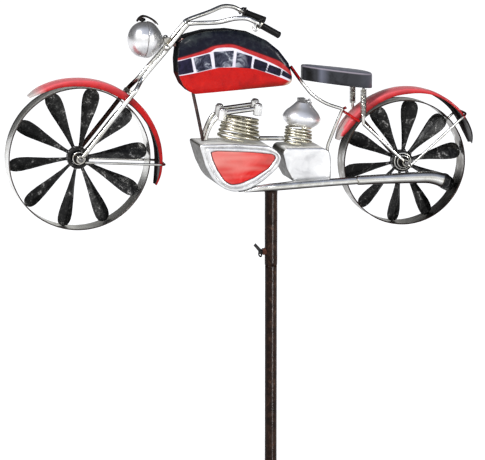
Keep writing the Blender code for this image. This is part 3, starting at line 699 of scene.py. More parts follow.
# Its pink layer is a painted highlight, and its dark red edge a painted outline of shade.
INLAY = paint("inlay_red", ((160, 12, 12), (184, 20, 19), (200, 40, 38),
                            (212, 84, 80)), (0.28, 0.44), 0.1, 0.0, 0.25, (120, 10, 12),
              30.0, (60, 10, 12), (206, 126, 118))
VANE_BLACK = hammered("vane_enamel", ((5, 5, 5), (14, 14, 14), (42, 42, 41),
                                      (150, 148, 146)), (0.26, 0.46), 0.5, 330.0, 0.5,
                      (40, 38, 36), 0.22)
CASE_GREY = hammered("case_wall", ((36, 35, 31), (58, 56, 50), (82, 80, 74),
                                   (112, 110, 104)), (0.32, 0.50), 0.35, 260.0, 0.15)
BRONZE = hammered("pole_bronze", ((10, 4, 2), (17, 7, 4), (28, 16, 10),
                                  (60, 42, 32)), (0.20, 0.32), 0.0, 420.0, 0.04,
                  (58, 34, 26), 0.07, 0.04)
BLACK = hammered("black_enamel", ((6, 6, 6), (12, 12, 12), (22, 22, 23),
                                  (42, 42, 44)), (0.26, 0.46), 0.1, 380.0, 0.15,
                 (52, 50, 50))
GRIP = rubber("grip_rubber", (7, 7, 7), (18, 18, 18), 900.0, 0.2)
VINYL = rubber("seat_vinyl", (5, 5, 6), (46, 47, 51), 1100.0, 0.2)
BRASS = bare_metal("bush_brass", (150, 118, 58), (184, 148, 78), (208, 178, 110),
                   (0.2, 0.4), 0.2, 200.0)
STEEL = bare_metal("dull_steel", (70, 68, 68), (104, 103, 103), (150, 150, 150),
                   (0.25, 0.42), 0.2, 120.0, (30, 28, 28))
WELD = bare_metal("weld_bead", (80, 58, 56), (128, 102, 98), (186, 168, 164),
                  (0.28, 0.5), 0.3, 300.0)
LEG_BROWN = paint("leg_dark", ((20, 10, 9), (40, 24, 21), (62, 42, 38),
                               (120, 92, 84)), (0.18, 0.36), 0.6, 0.6, 0.2)


# ---------------------------------------------------------------- finishing a piece

def put(name, data):
    """Add an object to the scene."""
    thing = bpy.data.objects.new(name, data)
    bpy.context.scene.collection.objects.link(thing)
    return thing


def dent(bm, amount, scale, seed):
    """Knock every vertex along its normal by a smooth noise."""
    bm.normal_update()
    offset = Vector((seed * 3.1, seed * 1.7, seed * 0.9))
    for v in bm.verts:
        v.co = v.co + v.normal * amount * noise.noise(v.co * scale + offset)


def made(form, *args, **options):
    """A new bmesh that holds one form."""
    bm = bmesh.new()
    form(bm, *args, **options)
    return bm


def dye_and_light(bm, name, rule):
    """Give every vertex a strength in the named layer, by a rule on its index and itself. The
    layers carry real dyes, and also painted light and painted shade.
    """
    layer = bm.verts.layers.float.new(name)
    for i, v in enumerate(bm.verts):
        v[layer] = rule(i, v)


def finish(name, bm, look, node=None, body="bike", base=BIKE, angle=38.0,
           bevel=0.0):
    """Turn a bmesh in millimetres into a piece that rides on a body and replaces a CAD node.

    A silver piece without a darkening layer of its own gets painted shade where it faces down.
    """
    bmesh.ops.recalc_face_normals(bm, faces=bm.faces)
    # Painted shade: silver that faces down is darkened.
    if look is SILVER and not bm.verts.layers.float.get("shade_and_tarnish"):
        bm.normal_update()
        dye_and_light(bm, "shade_and_tarnish", lambda i, v: 0.9 * min(1.0, (-v.normal.z - 0.25) / 0.4))
    wear = bm.verts.layers.float.new("wear")
    for edge in bm.edges:
        if len(edge.link_faces) == 2:
            sharp = edge.calc_face_angle(0.0)
            if sharp > 0.7:
                for v in edge.verts:
                    v[wear] = max(v[wear], min(1.0, sharp / 1.2))
    for v in bm.verts:
        v.co = (v.co + Vector(base)) * MM
    mesh = bpy.data.meshes.new(name)
    bm.to_mesh(mesh)
    bm.free()
    mesh.shade_smooth()
    mesh.set_sharp_from_angle(angle=math.radians(angle))
    mesh.materials.append(look)
    piece = put(name, mesh)
    if bevel > 0:
        ease = piece.modifiers.new("ease", "BEVEL")
        ease.width = bevel * MM
        ease.segments = 2
        ease.limit_method = "ANGLE"
        ease.angle_limit = math.radians(40)
        ease.harden_normals = False
    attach(piece, body)
    if node:
        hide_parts(node)


# ---------------------------------------------------------------- stake

def box(bm, x0, x1, y0, y1, z0, z1):
    skin(bm, [[(x0, y0, z), (x1, y0, z), (x1, y1, z), (x0, y1, z)] for z in (z0, z1)])


def build_stake():
    bm = bmesh.new()
    box(bm, -48, 48, -9, 9, 0, 5)
    spigot = POLE_R - POLE_WALL - GAP
    stem = [(POLE_R + 2.2, 4.8), (POLE_R + 0.9, 6.2), (POLE_R + 0.2, 8.4), (POLE_R, 11),
            (POLE_R, FORK_STEM_TOP - 0.6), (POLE_R - 0.6, FORK_STEM_TOP),
            (spigot, FORK_STEM_TOP), (spigot, FORK_STEM_TOP + SPIGOT - 1),
            (spigot - 1, FORK_STEM_TOP + SPIGOT)]
    lathe(bm, stem)
    for x in (-32, 32):
        prong = [(0.25, -PRONG_LENGTH), (0.9, 3 - PRONG_LENGTH), (2.3, 12 - PRONG_LENGTH),
                 (3.2, 19 - PRONG_LENGTH), (3.5, 26 - PRONG_LENGTH)]
        prong += [(3.5 + 0.06 * math.sin(k * 1.9), -150 + k * 9.0) for k in range(16)]
        prong += [(3.6, -4), (4.3, -1.6), (5.2, 0.2), (5.2, 1.0)]
        lathe(bm, prong, (x, 0, 0), (0, 0, 1), 24)
    finish("stake_fork", bm, BRONZE, "ground_fork", body="stake", base=SOIL,
           bevel=0.8)

    for name, low, high in (("lower_pole", FORK_STEM_TOP, POLE_JOINT),
                            ("upper_pole", POLE_JOINT, BIKE_Z + SOCKET_BOTTOM)):
        inner = POLE_R - POLE_WALL
        outside = [(POLE_R - 0.4, low + GAP), (POLE_R, low + GAP + 0.5)]
        count = int((high - low) / 12)
        outside += [(POLE_R + 0.03 * math.sin(k * 2.3), low + 4 + (high - low - 8) * k / count)
                    for k in range(count + 1)]
        outside += [(POLE_R, high - 1.2), (POLE_R - 0.5, high - 0.3), (spigot + 0.4, high),
                    (spigot, high + 0.6), (spigot, high + SPIGOT - 0.6),
                    (spigot - 0.5, high + SPIGOT)]
        inside = [(spigot - POLE_WALL, high + SPIGOT), (spigot - POLE_WALL, high - POLE_WALL),
                  (inner, high - POLE_WALL * 2), (inner, low + GAP)]
        finish("pole_" + name.split("_")[0], made(lathe, outside + inside, hollow=True, sides=40),
               BRONZE, name, body="stake", base=SOIL)


def rail_height(x):
    """The height of the lower rail's middle at x. The socket ends just under it."""
    return 52.1 + (x - RAIL_START) * 0.087


def build_socket():
    top = rail_height(0) - 3.0
    bm = bmesh.new()
    loop = [(SOCKET_R - 0.3, SOCKET_BOTTOM + GAP), (SOCKET_R, SOCKET_BOTTOM + GAP + 0.4)]
    loop += [(SOCKET_R + 0.05 * math.sin(k * 1.7), SOCKET_BOTTOM + 4 + k * 7.4)
             for k in range(12)]
    loop += [(SOCKET_R, top - 8), (SOCKET_R + 0.3, top - 3), (SOCKET_R + 1.4, top - 0.6),
             (SOCKET_R + 1.4, top), (SOCKET_R - SOCKET_WALL, top),
             (SOCKET_R - SOCKET_WALL, SOCKET_BOTTOM + GAP)]
    lathe(bm, loop, hollow=True, sides=40)
    boss = [(2.5, 6.9), (5.4, 6.9), (5.2, 8.4), (4.7, 9.2), (4.7, 11.3), (4.2, 11.8), (2.5, 11.8)]
    lathe(bm, boss, (0, 0, SCREW_Z), (-1, 0, 0), 6, hollow=True)
    finish("socket", bm, BRONZE, "socket_tube")

    bm = bmesh.new()
    shank = [(1.6, 8.1), (2.0, 8.5)]
    for k in range(6):
        shank += [(2.0, 8.9 + k * 0.5), (1.75, 9.15 + k * 0.5)]
    shank += [(2.0, 12.2), (3.2, 12.4), (3.3, 13.0), (3.2, 15.4), (2.6, 15.8)]
    lathe(bm, shank, (0, 0, SCREW_Z), (-1, 0, 0), 28)
    tab = [Vector(p) for p in ((-12.8, -2.2), (-13.2, 3.2), (-20.3, 11.0), (-23.0, 8.2),
                               (-16.8, 0.6), (-16.4, -1.8))]
    rings = [at_depth(inset(tab, 0.35), -1.4), at_depth(tab, -1.0), at_depth(tab, 1.0),
             at_depth(inset(tab, 0.35), 1.4)]
    skin(bm, [[p + Vector((0, 0, SCREW_Z)) for p in ring] for ring in rings])
    loop = [(-15.6, 0, -0.5), (-16.2, 0, -3.0), (-15.2, 0, -5.6), (-13.2, 0, -6.6),
            (-12.6, 0, -4.4), (-13.2, 0, -1.8)]
    rod(bm, [Vector(p) + Vector((0, 0, SCREW_Z)) for p in through(loop, 5)], 0.95, 12)
    finish("clamp_screw", bm, BLACK, "thumb_screw", body="thumb_screw")


# ---------------------------------------------------------------- wheels

VANE_WIDTHS = ((0.0, 2.5), (0.08, 2.8), (0.2, 4.0), (0.36, 6.0), (0.52, 8.5), (0.66, 10.8),
               (0.78, 12.1), (0.87, 12.1), (0.93, 10.7), (0.967, 8.6), (0.988, 5.8), (1.0, 2.2))


def vane(bm, radius, degrees, seed):
    """One petal vane with a soft ridge, hammered by hand."""
    root = HUB_RING_R - 1.5
    length = radius - RIM_T - GAP - 0.4 - root
    pitch = math.radians(32.0)
    turn = Matrix.Rotation(math.radians(degrees), 3, Vector(ACROSS))
    stations = []
    for (s0, w0), (s1, w1) in zip(VANE_WIDTHS, VANE_WIDTHS[1:]):
        for k in range(3):
            stations.append((s0 + (s1 - s0) * k / 3, w0 + (w1 - w0) * k / 3))
    stations.append(VANE_WIDTHS[-1])
    sides = [-0.86, -0.72, -0.5, -0.25, -0.06, 0.0, 0.06, 0.28, 0.55, 0.82, 1.0]
    rings = []
    for share, half in stations:
        height = root + length * share
        face = []
        back = []
        for s in sides:
            ridge = 1.7 * (1 - abs(s) ** 1.25) * min(1.0, half / 5.0)
            lump = 0.28 * noise.noise(Vector((s * half * 0.22, height * 0.13, seed * 3.7)))
            rise = ridge + lump
            across = s * half
            thin = 0.5 if abs(s) in (0.86, 1.0) else 1.15
            for line, level in ((face, rise), (back, rise - thin)):
                line.append(turn @ Vector((across * math.cos(pitch) - level * math.sin(pitch),
                                           -across * math.sin(pitch) - level * math.cos(pitch),
                                           height)))
        rings.append(face + list(reversed(back)))
    skin(bm, rings)


def build_wheel(prefix, hub, radius, first, metal):
    """One wheel and its axle. The hoop is drawn inside its CAD rim, to leave dents room."""
    base = Vector((hub[0], 0, BIKE_Z + hub[1]))
    body = prefix + "_wheel"
    bm = bmesh.new()
    outer = radius - DENT_ROOM
    inner = outer - RIM_T
    loop = [(inner + 0.35, -RIM_HALF), (outer - 0.35, -RIM_HALF), (outer, -RIM_HALF + 0.4),
            (outer, -RIM_HALF + 2.0), (outer - 0.18, -RIM_HALF + 3.0), (outer - 0.25, -6),
            (outer - 0.25, 6), (outer - 0.18, RIM_HALF - 3.0), (outer, RIM_HALF - 2.0),
            (outer, RIM_HALF - 0.4), (outer - 0.35, RIM_HALF), (inner + 0.35, RIM_HALF),
            (inner, RIM_HALF - 0.4), (inner, RIM_HALF - 2.0), (inner - 0.12, 6),
            (inner - 0.12, -6), (inner, -RIM_HALF + 2.0), (inner, -RIM_HALF + 0.4)]
    lathe(bm, loop, (0, 0, 0), ACROSS, 160, hollow=True)
    dent(bm, 0.15, 0.05, 1.0 if prefix == "front" else 2.0)
    # Painted shade: both edges of the hoop are darkened into dark outlines.
    dye_and_light(bm, "shade_and_tarnish", lambda i, v: 0.8 if abs(v.co.y) > RIM_HALF - 1.0 else 0.0)
    finish(prefix + "_hoop", bm, metal, prefix + "_rim", body=body, base=base)

    bm = bmesh.new()
    ring_of(bm, HUB_RING_R, HUB_R + GAP, 6.0, (0, 0, 0), ACROSS, 60, 0.9)
    step = 360.0 / VANES
    for k in range(VANES):
        vane(bm, radius, first + step * k, k + (0 if prefix == "front" else 20))
    finish(prefix + "_petals", bm, VANE_BLACK, prefix + "_vanes", body=body,
           base=base)

    bm = bmesh.new()
    for k in range(VANES):
        angle = math.radians(first + step * k + 5.0)
        spot = (14.4 * math.sin(angle), -4.6, 14.4 * math.cos(angle))
        blob(bm, spot, (1.6, 1.2, 1.6), k * 1.3 + hub[0], 0.5)
    finish(prefix + "_welds", bm, STEEL, body=body, base=base)

    bm = bmesh.new()
    shell = [(3.9, -HUB_HALF), (5.0, -HUB_HALF), (5.5, -HUB_HALF + 0.3), (6.4, -HUB_HALF + 1.4),
             (6.7, -HUB_HALF + 1.2), (8.3, -HUB_HALF + 2.0), (8.9, -HUB_HALF + 2.9),
             (HUB_R, -HUB_HALF + 4.2)]
    loop = shell + [(r, -h) for r, h in reversed(shell)]
    lathe(bm, loop, (0, 0, 0), ACROSS, 56, hollow=True)
    finish(prefix + "_boss", bm, BLACK, prefix + "_hub", body=body, base=base)
    bm = bmesh.new()
    for y in (-HUB_HALF + 1.2, HUB_HALF - 1.2):
        torus(bm, (0, y, 0), ACROSS, 7.6, 0.95, 56, 12)
        if prefix == "rear":
            torus(bm, (0, y * 0.66, 0), ACROSS, 10.6, 1.1, 56, 12)
    finish(prefix + "_hub_ring", bm, SILVER, body=body, base=base)

    bm = bmesh.new()
    inner = HUB_HALF + 1.5 + GAP
    half = [(AXLE_R, inner), (3.7, inner), (4.0, inner + 0.3), (4.0, LEG_Y - 2.9),
            (3.7, LEG_Y - 2.6), (AXLE_R, LEG_Y - 2.6), (AXLE_R, LEG_Y + 2.4),
            (3.0, LEG_Y + 2.4), (3.2, LEG_Y + 2.7), (3.1, LEG_Y + 4.6), (2.6, LEG_Y + 5.4),
            (1.7, LEG_Y + 5.8), (0.6, LEG_Y + 5.95)]
    lathe(bm, [(r, -h) for r, h in reversed(half)] + half, (hub[0], 0, hub[1]), ACROSS, 36)
    finish(prefix + "_spindle", bm, STEEL, prefix + "_axle")


# ---------------------------------------------------------------- fork, bars, headlight

def profile_at(profile, degrees):
    """Reach, left drop and right drop at an angle, between rows that start with theirs."""
    for low, high in zip(profile, profile[1:]):
        if degrees <= high[0]:
            break
    share = (degrees - low[0]) / (high[0] - low[0])
    return [a + (b - a) * share for a, b in zip(low[1:], high[1:])]


def on_arc(centre, profile, degrees, above):
    """A point at a height above a fender's crown."""
    angle = math.radians(degrees)
    reach = profile_at(profile, degrees)[0] + above
    return Vector((centre[0] + reach * math.cos(angle), centre[1] + reach * math.sin(angle)))


def bar_route(side):
    """One side of the handlebar, from the neck to the grip."""
    lift = 0.0 if side < 0 else 4.82
    return [(-133, side * NECK_Y, 241), (-113, side * NECK_Y, 264.5),
            (-105.5, side * 13.5, 268.5 + lift * 0.4), (-76, side * 26, 270.5 + lift * 1.6),
            (-56, side * 35, 275.5 + lift * 1.8), (-42, side * 40.5, 276 + lift * 1.5),
            (-33, side * 43, 272.5 + lift * 1.4), (-27, side * 43, 269.3 + lift * 1.4)]


def eye(bm, x, y, z, radius):
    """The flat eye of a leg or strut, round its axle."""
    ring_of(bm, radius, AXLE_R + GAP, 1.9, (x, y, z), ACROSS, 36, 0.5)


def build_bar_end(name, side):
    start = Vector(bar_route(side)[-1])
    end = Vector((1.6, side * 38.5, 253.2 if side < 0 else 264.8))
    axis = (end - start).normalized()
    length = (end - start).length
    profile = [(3.2, 3.2), (4.2, 3.3), (4.9, 3.8), (4.9, 4.8), (4.3, 5.4)]
    ribs = int((length - 9) / 0.9)
    for k in range(ribs):
        profile += [(4.22, 5.8 + k * 0.9), (4.36, 6.25 + k * 0.9)]
    profile += [(4.3, length - 2.6), (4.5, length - 1.9), (4.3, length - 0.9),
                (3.4, length - 0.2), (2.0, length)]
    finish("grip_sleeve_" + name, made(lathe, profile, start, axis, 36), GRIP, "grip_" + name)

    bm = bmesh.new()
    collar = [(3.3, 0.5), (6.3, 0.5), (7.0, 1.0), (7.0, 2.2), (6.3, 2.7), (3.3, 2.7)]
    lathe(bm, collar, start, axis, 40, hollow=True)
    if side < 0:
        drop = [start + Vector(p) for p in ((-3.6, -4.6, -0.5), (-7.2, -5.2, -2.2),
                                            (-7.8, -5.6, -5.6), (-5.2, -5.8, -8.2),
                                            (-2.6, -5.6, -7.0), (-2.4, -5.2, -4.6))]
    else:
        drop = [start + Vector(p) for p in ((-2.6, 3.6, -3.0), (-4.4, 5.0, 0.5),
                                            (-1.8, 5.6, 2.6), (1.6, 5.8, 4.3),
                                            (3.2, 5.4, 3.5), (2.6, 4.4, 0.4))]
    rod(bm, through(drop, 5), 1.25, 12)
    finish("lever_perch_" + name, bm, SILVER if side < 0 else BLACK, "lever_collar_" + name)


def build_fork():
    hub_x, hub_z = FRONT_HUB
    for name, side in SIDES:
        leg = [(hub_x + 3.4, side * LEG_Y, hub_z + 3.9), (-225, side * LEG_Y, 132),
               (-206, side * LEG_Y, 155), (-188, side * LEG_Y, 177),
               (-179.4, side * (LEG_Y - 1.0), 187), (-171, side * (NECK_Y + 2.0), 197.5),
               (-163, side * NECK_Y, 207), (-148, side * NECK_Y, 224)]
        bm = bmesh.new()
        rod(bm, through(leg + bar_route(side), 7), ROD_R, 20)
        eye(bm, hub_x, side * LEG_Y, hub_z, FORK_EYE_R)
        # Painted shade: the far leg is darkened low down, below the crown.
        if side > 0:
            dye_and_light(bm, "shade_and_tarnish", lambda i, v: min(1.0, (200.0 - v.co.z) / 8.0) * 0.9)
        finish("fork_tube_" + name, bm, SILVER, "fork_" + name)
        build_bar_end(name, side)

    spot = on_arc(FRONT_FENDER, FRONT_PROFILE, CROWN_ANGLE, 2.4 + 2 * GAP)
    half = LEG_Y - ROD_R - 2 * GAP
    bm = bmesh.new()
    box(bm, spot.x - 3, spot.x + 3, -half, half, spot.y - 2.4, spot.y + 2.4)
    turn = Matrix.Rotation(math.radians(90 - CROWN_ANGLE), 3, "Y")
    bmesh.ops.rotate(bm, cent=(spot.x, 0, spot.y), matrix=turn, verts=bm.verts)
    for side in (-1, 1):
        blob(bm, (spot.x, side * (half - 0.6), spot.y), (3.1, 1.6, 2.6), side * 2.0)
    finish("crown_bar", bm, SILVER, "fork_crown", bevel=0.6)

    bm = bmesh.new()
    box(bm, -129.4, -124.6, -6.6, 6.6, 239, 246)
    blob(bm, (-126.4, -5.4, 245.4), (3.0, 2.8, 2.6), 4.0, 0.5)
    blob(bm, (-126.4, 5.4, 245.4), (3.0, 2.8, 2.6), 7.0, 0.5)
    finish("neck_lug", bm, WELD, "head_lug", bevel=0.6)

    bm = bmesh.new()
    for spot, r in (((-120.2, -9.5, 246.6), (2.8, 2.4, 2.4)),
                    ((-117.6, -11, 248.6), (2.0, 1.8, 1.7)),
                    ((-120.2, 9.5, 246.6), (2.8, 2.4, 2.4))):
        blob(bm, spot, r, spot[1], 0.55)
    finish("neck_weld", bm, WELD)


def build_headlight():
    centre = Vector((-163.0, 0.0, 248.0))
    tilt = math.radians(6)
    axis = Vector((-math.cos(tilt), 0, math.sin(tilt)))
    bm = bmesh.new()
    bowl = curved([(22.9, 0.5), (22.6, 4), (21.9, 8), (20.2, 12.2), (17.2, 16.2), (12.8, 19.6),
                   (7.0, 22.0), (2.6, 22.8)], 4)
    lathe(bm, bowl + [(0.3, 22.8)], centre, axis, 96)
    finish("lamp_bowl", bm, CHROME, "headlight_bowl", angle=60)

    bm = bmesh.new()
    shell = curved([(23.0, 0.0), (23.5, -0.8), (22.4, -6), (18.8, -11.5), (13.5, -16.5),
                    (8.5, -20), (4.6, -22)], 5)
    lathe(bm, shell + [(0.3, -22)], centre, axis, 96)
    peak = through([(-11.5, 23.4), (-8.4, 28.0), (-3.5, 30.8), (3.0, 29.4), (11.0, 24.8),
                    (15.6, 19.8)], 5)
    rings = []
    for i, p in enumerate(peak):
        share = i / (len(peak) - 1)
        half = 3.2 + 6.3 * math.sin(math.pi * (0.06 + 0.62 * share))
        ahead = peak[min(i + 1, len(peak) - 1)] - peak[max(i - 1, 0)]
        out = Vector((-ahead.y, ahead.x)).normalized()
        over = []
        under = []
        for k in range(-5, 6):
            y = half * k / 5
            sag = y * y / 52.0
            skin_t = 0.35 if abs(k) == 5 else 0.55
            for line, level in ((over, skin_t - sag), (under, -skin_t - sag)):
                q = p + out * level
                line.append(centre + Vector((q.x, y, q.y)))
        rings.append(over + list(reversed(under)))
    body = len(bm.verts)
    skin(bm, rings)
    # The peak is darkened to a dull brown-black.
    dye_and_light(bm, "shade_and_tarnish", lambda i, v: 0.85 if i >= body else 0.0)
    finish("lamp_shell", bm, CHROME, "headlight_shell", angle=50)

    bm = bmesh.new()
    # A black lump under the peak.
    blob(bm, centre + Vector((-4.2, 0, 25.4)), (4.6, 3.0, 2.6), 3.0, 0.2)
    finish("lamp_peak_dark_lump", bm, BLACK)

    bm = bmesh.new()
    outline = [Vector(p) for p in ((-140.2, 241.0), (-140.4, 249.5), (-136.0, 251.5),
                                   (-129.8, 249.0), (-137.5, 238.8))]
    eased = inset(outline, 0.7)
    skin(bm, [at_depth(eased, -6.7), at_depth(outline, -6.0), at_depth(outline, 6.0),
              at_depth(eased, 6.7)])
    nut(bm, (-136.4, 2.5, 249.4), (-0.5, 0, 0.87), 3.6, 2.2, 2.0)
    finish("lamp_bracket", bm, SILVER, "headlight_bracket")
    bm = bmesh.new()
    axis = (0, -1, 0)
    nut(bm, (-138.6, -12.6, 238.6), axis, 3.9, 2.4, 2.2)
    ring_of(bm, 4.6, 1.5, 0.5, (-138.6, -12.6, 238.6), axis, 28, 0.2)
    nut(bm, (-136.6, 12.6, 245.0), ACROSS, 3.9, 2.4, 2.2)
    finish("lamp_bolts", bm, SILVER)


# ---------------------------------------------------------------- tank

def tank_outline():
    corners = [(-102, 179, 0), (19, 187, 6), (24.5, 194, 6), (19, 215, 0), (6, 232, 0),
               (-10, 245, 0), (-30, 254.5, 0), (-58, 259, 0), (-88, 258, 0), (-110, 253, 0),
               (-122, 246.5, 5), (-125, 222, 0), (-124, 204, 0), (-118, 190.5, 0),
               (-109, 181.5, 0)]
    return rounded(corners, 5)


def line_height(line, x):
    """The height of a painted line at x, which carries on straight past its ends."""
    for (x0, z0), (x1, z1) in zip(line, line[1:]):
        if x <= x1:
            break
    return z0 + (z1 - z0) * (x - x0) / (x1 - x0)


STRIPE_TOP = ((-125, 225), (-94, 234), (-82, 239), (-70, 241), (-54, 241), (-34, 234),
              (-10, 225), (8, 217), (22, 204))
WHITE_TOP = ((-126, 222), (-106, 227), (-85, 232), (-75, 237), (-55, 237), (-39, 231),
             (-10, 219), (9, 209), (24, 198))
WHITE_LOW = ((-125, 202.6), (-101, 206.8), (-80, 211.0), (-68, 212.6), (-34, 211.0),
             (-10, 204.2), (8, 197.6), (20, 192.2))
PANELS = (((-126, 204), (-106, 208), (-109, 225), (-127, 220)),
          ((-101, 208), (-82, 212), (-85, 230), (-105, 225)),
          ((-77, 213), (-56, 214), (-54, 233), (-79, 232)),
          ((-51, 213), (-32, 211), (-30, 225), (-49, 231)),
          ((-28, 211), (-13, 206), (-10, 216), (-26, 222)),
          ((-10, 206), (6, 200), (8, 208), (-7, 214)),
          ((9, 201), (23, 194), (24, 198), (11, 206)))


STRIPE_CURVE = [tuple(p) for p in through(STRIPE_TOP, 6)]
WHITE_TOP_CURVE = [tuple(p) for p in through(WHITE_TOP, 6)]
WHITE_LOW_CURVE = [tuple(p) for p in through(WHITE_LOW, 6)]


def inside_panel(point):
    """How deep a point lies inside one of the dark panels, or how far outside them all."""
    best = -99.0
    for panel in PANELS:
        corners = [Vector(c) for c in panel]
        depth = 99.0
        for a, b in zip(corners, corners[1:] + corners[:1]):
            edge = (b - a).normalized()
            gap = point - a
            depth = min(depth, edge.x * gap.y - edge.y * gap.x)
        best = max(best, depth)
    return best


def paint_layers(bm):
    """Mark how far every vertex lies from the tank's painted lines."""
    def above(line, lift=0.0):
        return lambda i, v: v.co.z - line_height(line, v.co.x) - lift

    dye_and_light(bm, "above_stripe", above(STRIPE_CURVE))
    dye_and_light(bm, "above_line", above(STRIPE_CURVE, 1.3))
    dye_and_light(bm, "above_white", above(WHITE_TOP_CURVE))
    dye_and_light(bm, "below_white", lambda i, v: line_height(WHITE_LOW_CURVE, v.co.x) - v.co.z)
    dye_and_light(bm, "panel", lambda i, v: inside_panel(Vector((v.co.x, v.co.z))))
    dye_and_light(bm, "painted_sheen_height", above(STRIPE_CURVE))
    dye_and_light(bm, "low_edge", lambda i, v: (
        v.co.z - (179 + (v.co.x + 102) * 0.066) + max(0.0, -v.co.x - 40) * 0.5))
    dye_and_light(bm, "tail", lambda i, v: (v.co.x - 14.0) - (v.co.z - 188.0) * 1.1)
    dye_and_light(bm, "mottle", lambda i, v: min((v.co.x + 107.0) / 4.0, (-40.0 - v.co.x) / 16.0 + 0.4))


def build_tank():
    outline = tank_outline()
    bm = bmesh.new()
    hoop(bm, polar(outline, TANK_MIDDLE, 240), SHEET, TANK_HALF, 0.5)
    dye_and_light(bm, "top_paint", lambda i, v: v.co.z - 206.0)
    finish("tank_strip", bm, TANK_EDGE, "tank_band")
    levels = [(0, 0.7), (0.5, 1.1), (1.6, 1.9), (3.0, 2.7), (5.5, 3.6), (9.0, 4.25),
              (14.0, 4.75), (22.0, 5.0)]
    for name, side in SIDES:
        bm = bmesh.new()
        pressed(bm, outline, TANK_MIDDLE, side * (TANK_HALF + GAP), side, levels, 240, 44)
        dent(bm, 0.16, 0.05, side)
        paint_layers(bm)
        finish("tank_side_" + name, bm, TANK_SIDE, "tank_" + name, angle=50)


# ---------------------------------------------------------------- frame, engine

def build_frame():
    spine = through([(25.5, 0, 209), (35, 0, 195.5), (45, 0, 182.5), (55, 0, 171.5),
                     (72, 0, 160.5), (94, 0, 152.5)], 7)
    down = evenly([(94, 0, 152.5), (91, 0, 145), (82.8, 0, 126), (75.4, 0, 107.5),
                   (74.2, 0, 102.5), (74.1, 0, 84.0)], 4)
    bm = bmesh.new()
    rod(bm, spine + down[1:], STRUT_R, 18)
    dye_and_light(bm, "overspray", lambda i, v: (41.0 - v.co.x) / 5.0 if v.co.z > 175 else 0.0)
    finish("backbone_rod", bm, SILVER, "frame_spine")
    route = through([(-102.0, 0, 178.2), (-95.5, 0, 148), (-89.3, 0, 117.4)], 8)
    finish("front_down_rod", made(rod, route, STRUT_R, 18), LEG_BROWN, "down_tube")
    bm = bmesh.new()
    rail = []
    for x in (RAIL_START, RAIL_END):
        z = rail_height(x)
        rail.append([(x, -6, z - 2), (x, 6, z - 2), (x, 6, z + 2), (x, -6, z + 2)])
    skin(bm, rail)
    finish("floor_strip", bm, BLACK, "lower_rail", bevel=0.7)


ENGINE = [(-101, 116.5, 4), (-53, 116, 0), (-6, 111.5, 9), (6.5, 98, 5), (2, 84, 6),
          (-20, 65.5, 8), (-40, 56.5, 6), (-55.5, 54.5, 6), (-69.5, 59, 8), (-83.5, 71, 8),
          (-93, 90, 0)]
INLAY_EDGE = [(-86, 106.5, 2), (-78, 108, 0), (-34, 105, 0), (-4, 101.5, 3), (-1, 96.5, 3),
              (-10, 84, 3), (-28, 73, 0), (-46, 65.4, 5), (-59, 63.8, 4), (-68, 69, 4),
              (-77, 83, 0), (-83, 96, 0)]
GEARBOX = [(8.5, 102, 0), (12, 108.5, 6), (62, 107.2, 6), (70, 102, 6), (71.5, 88, 0),
           (71, 64.2, 5), (23, 64.2, 3), (13.5, 82, 0)]


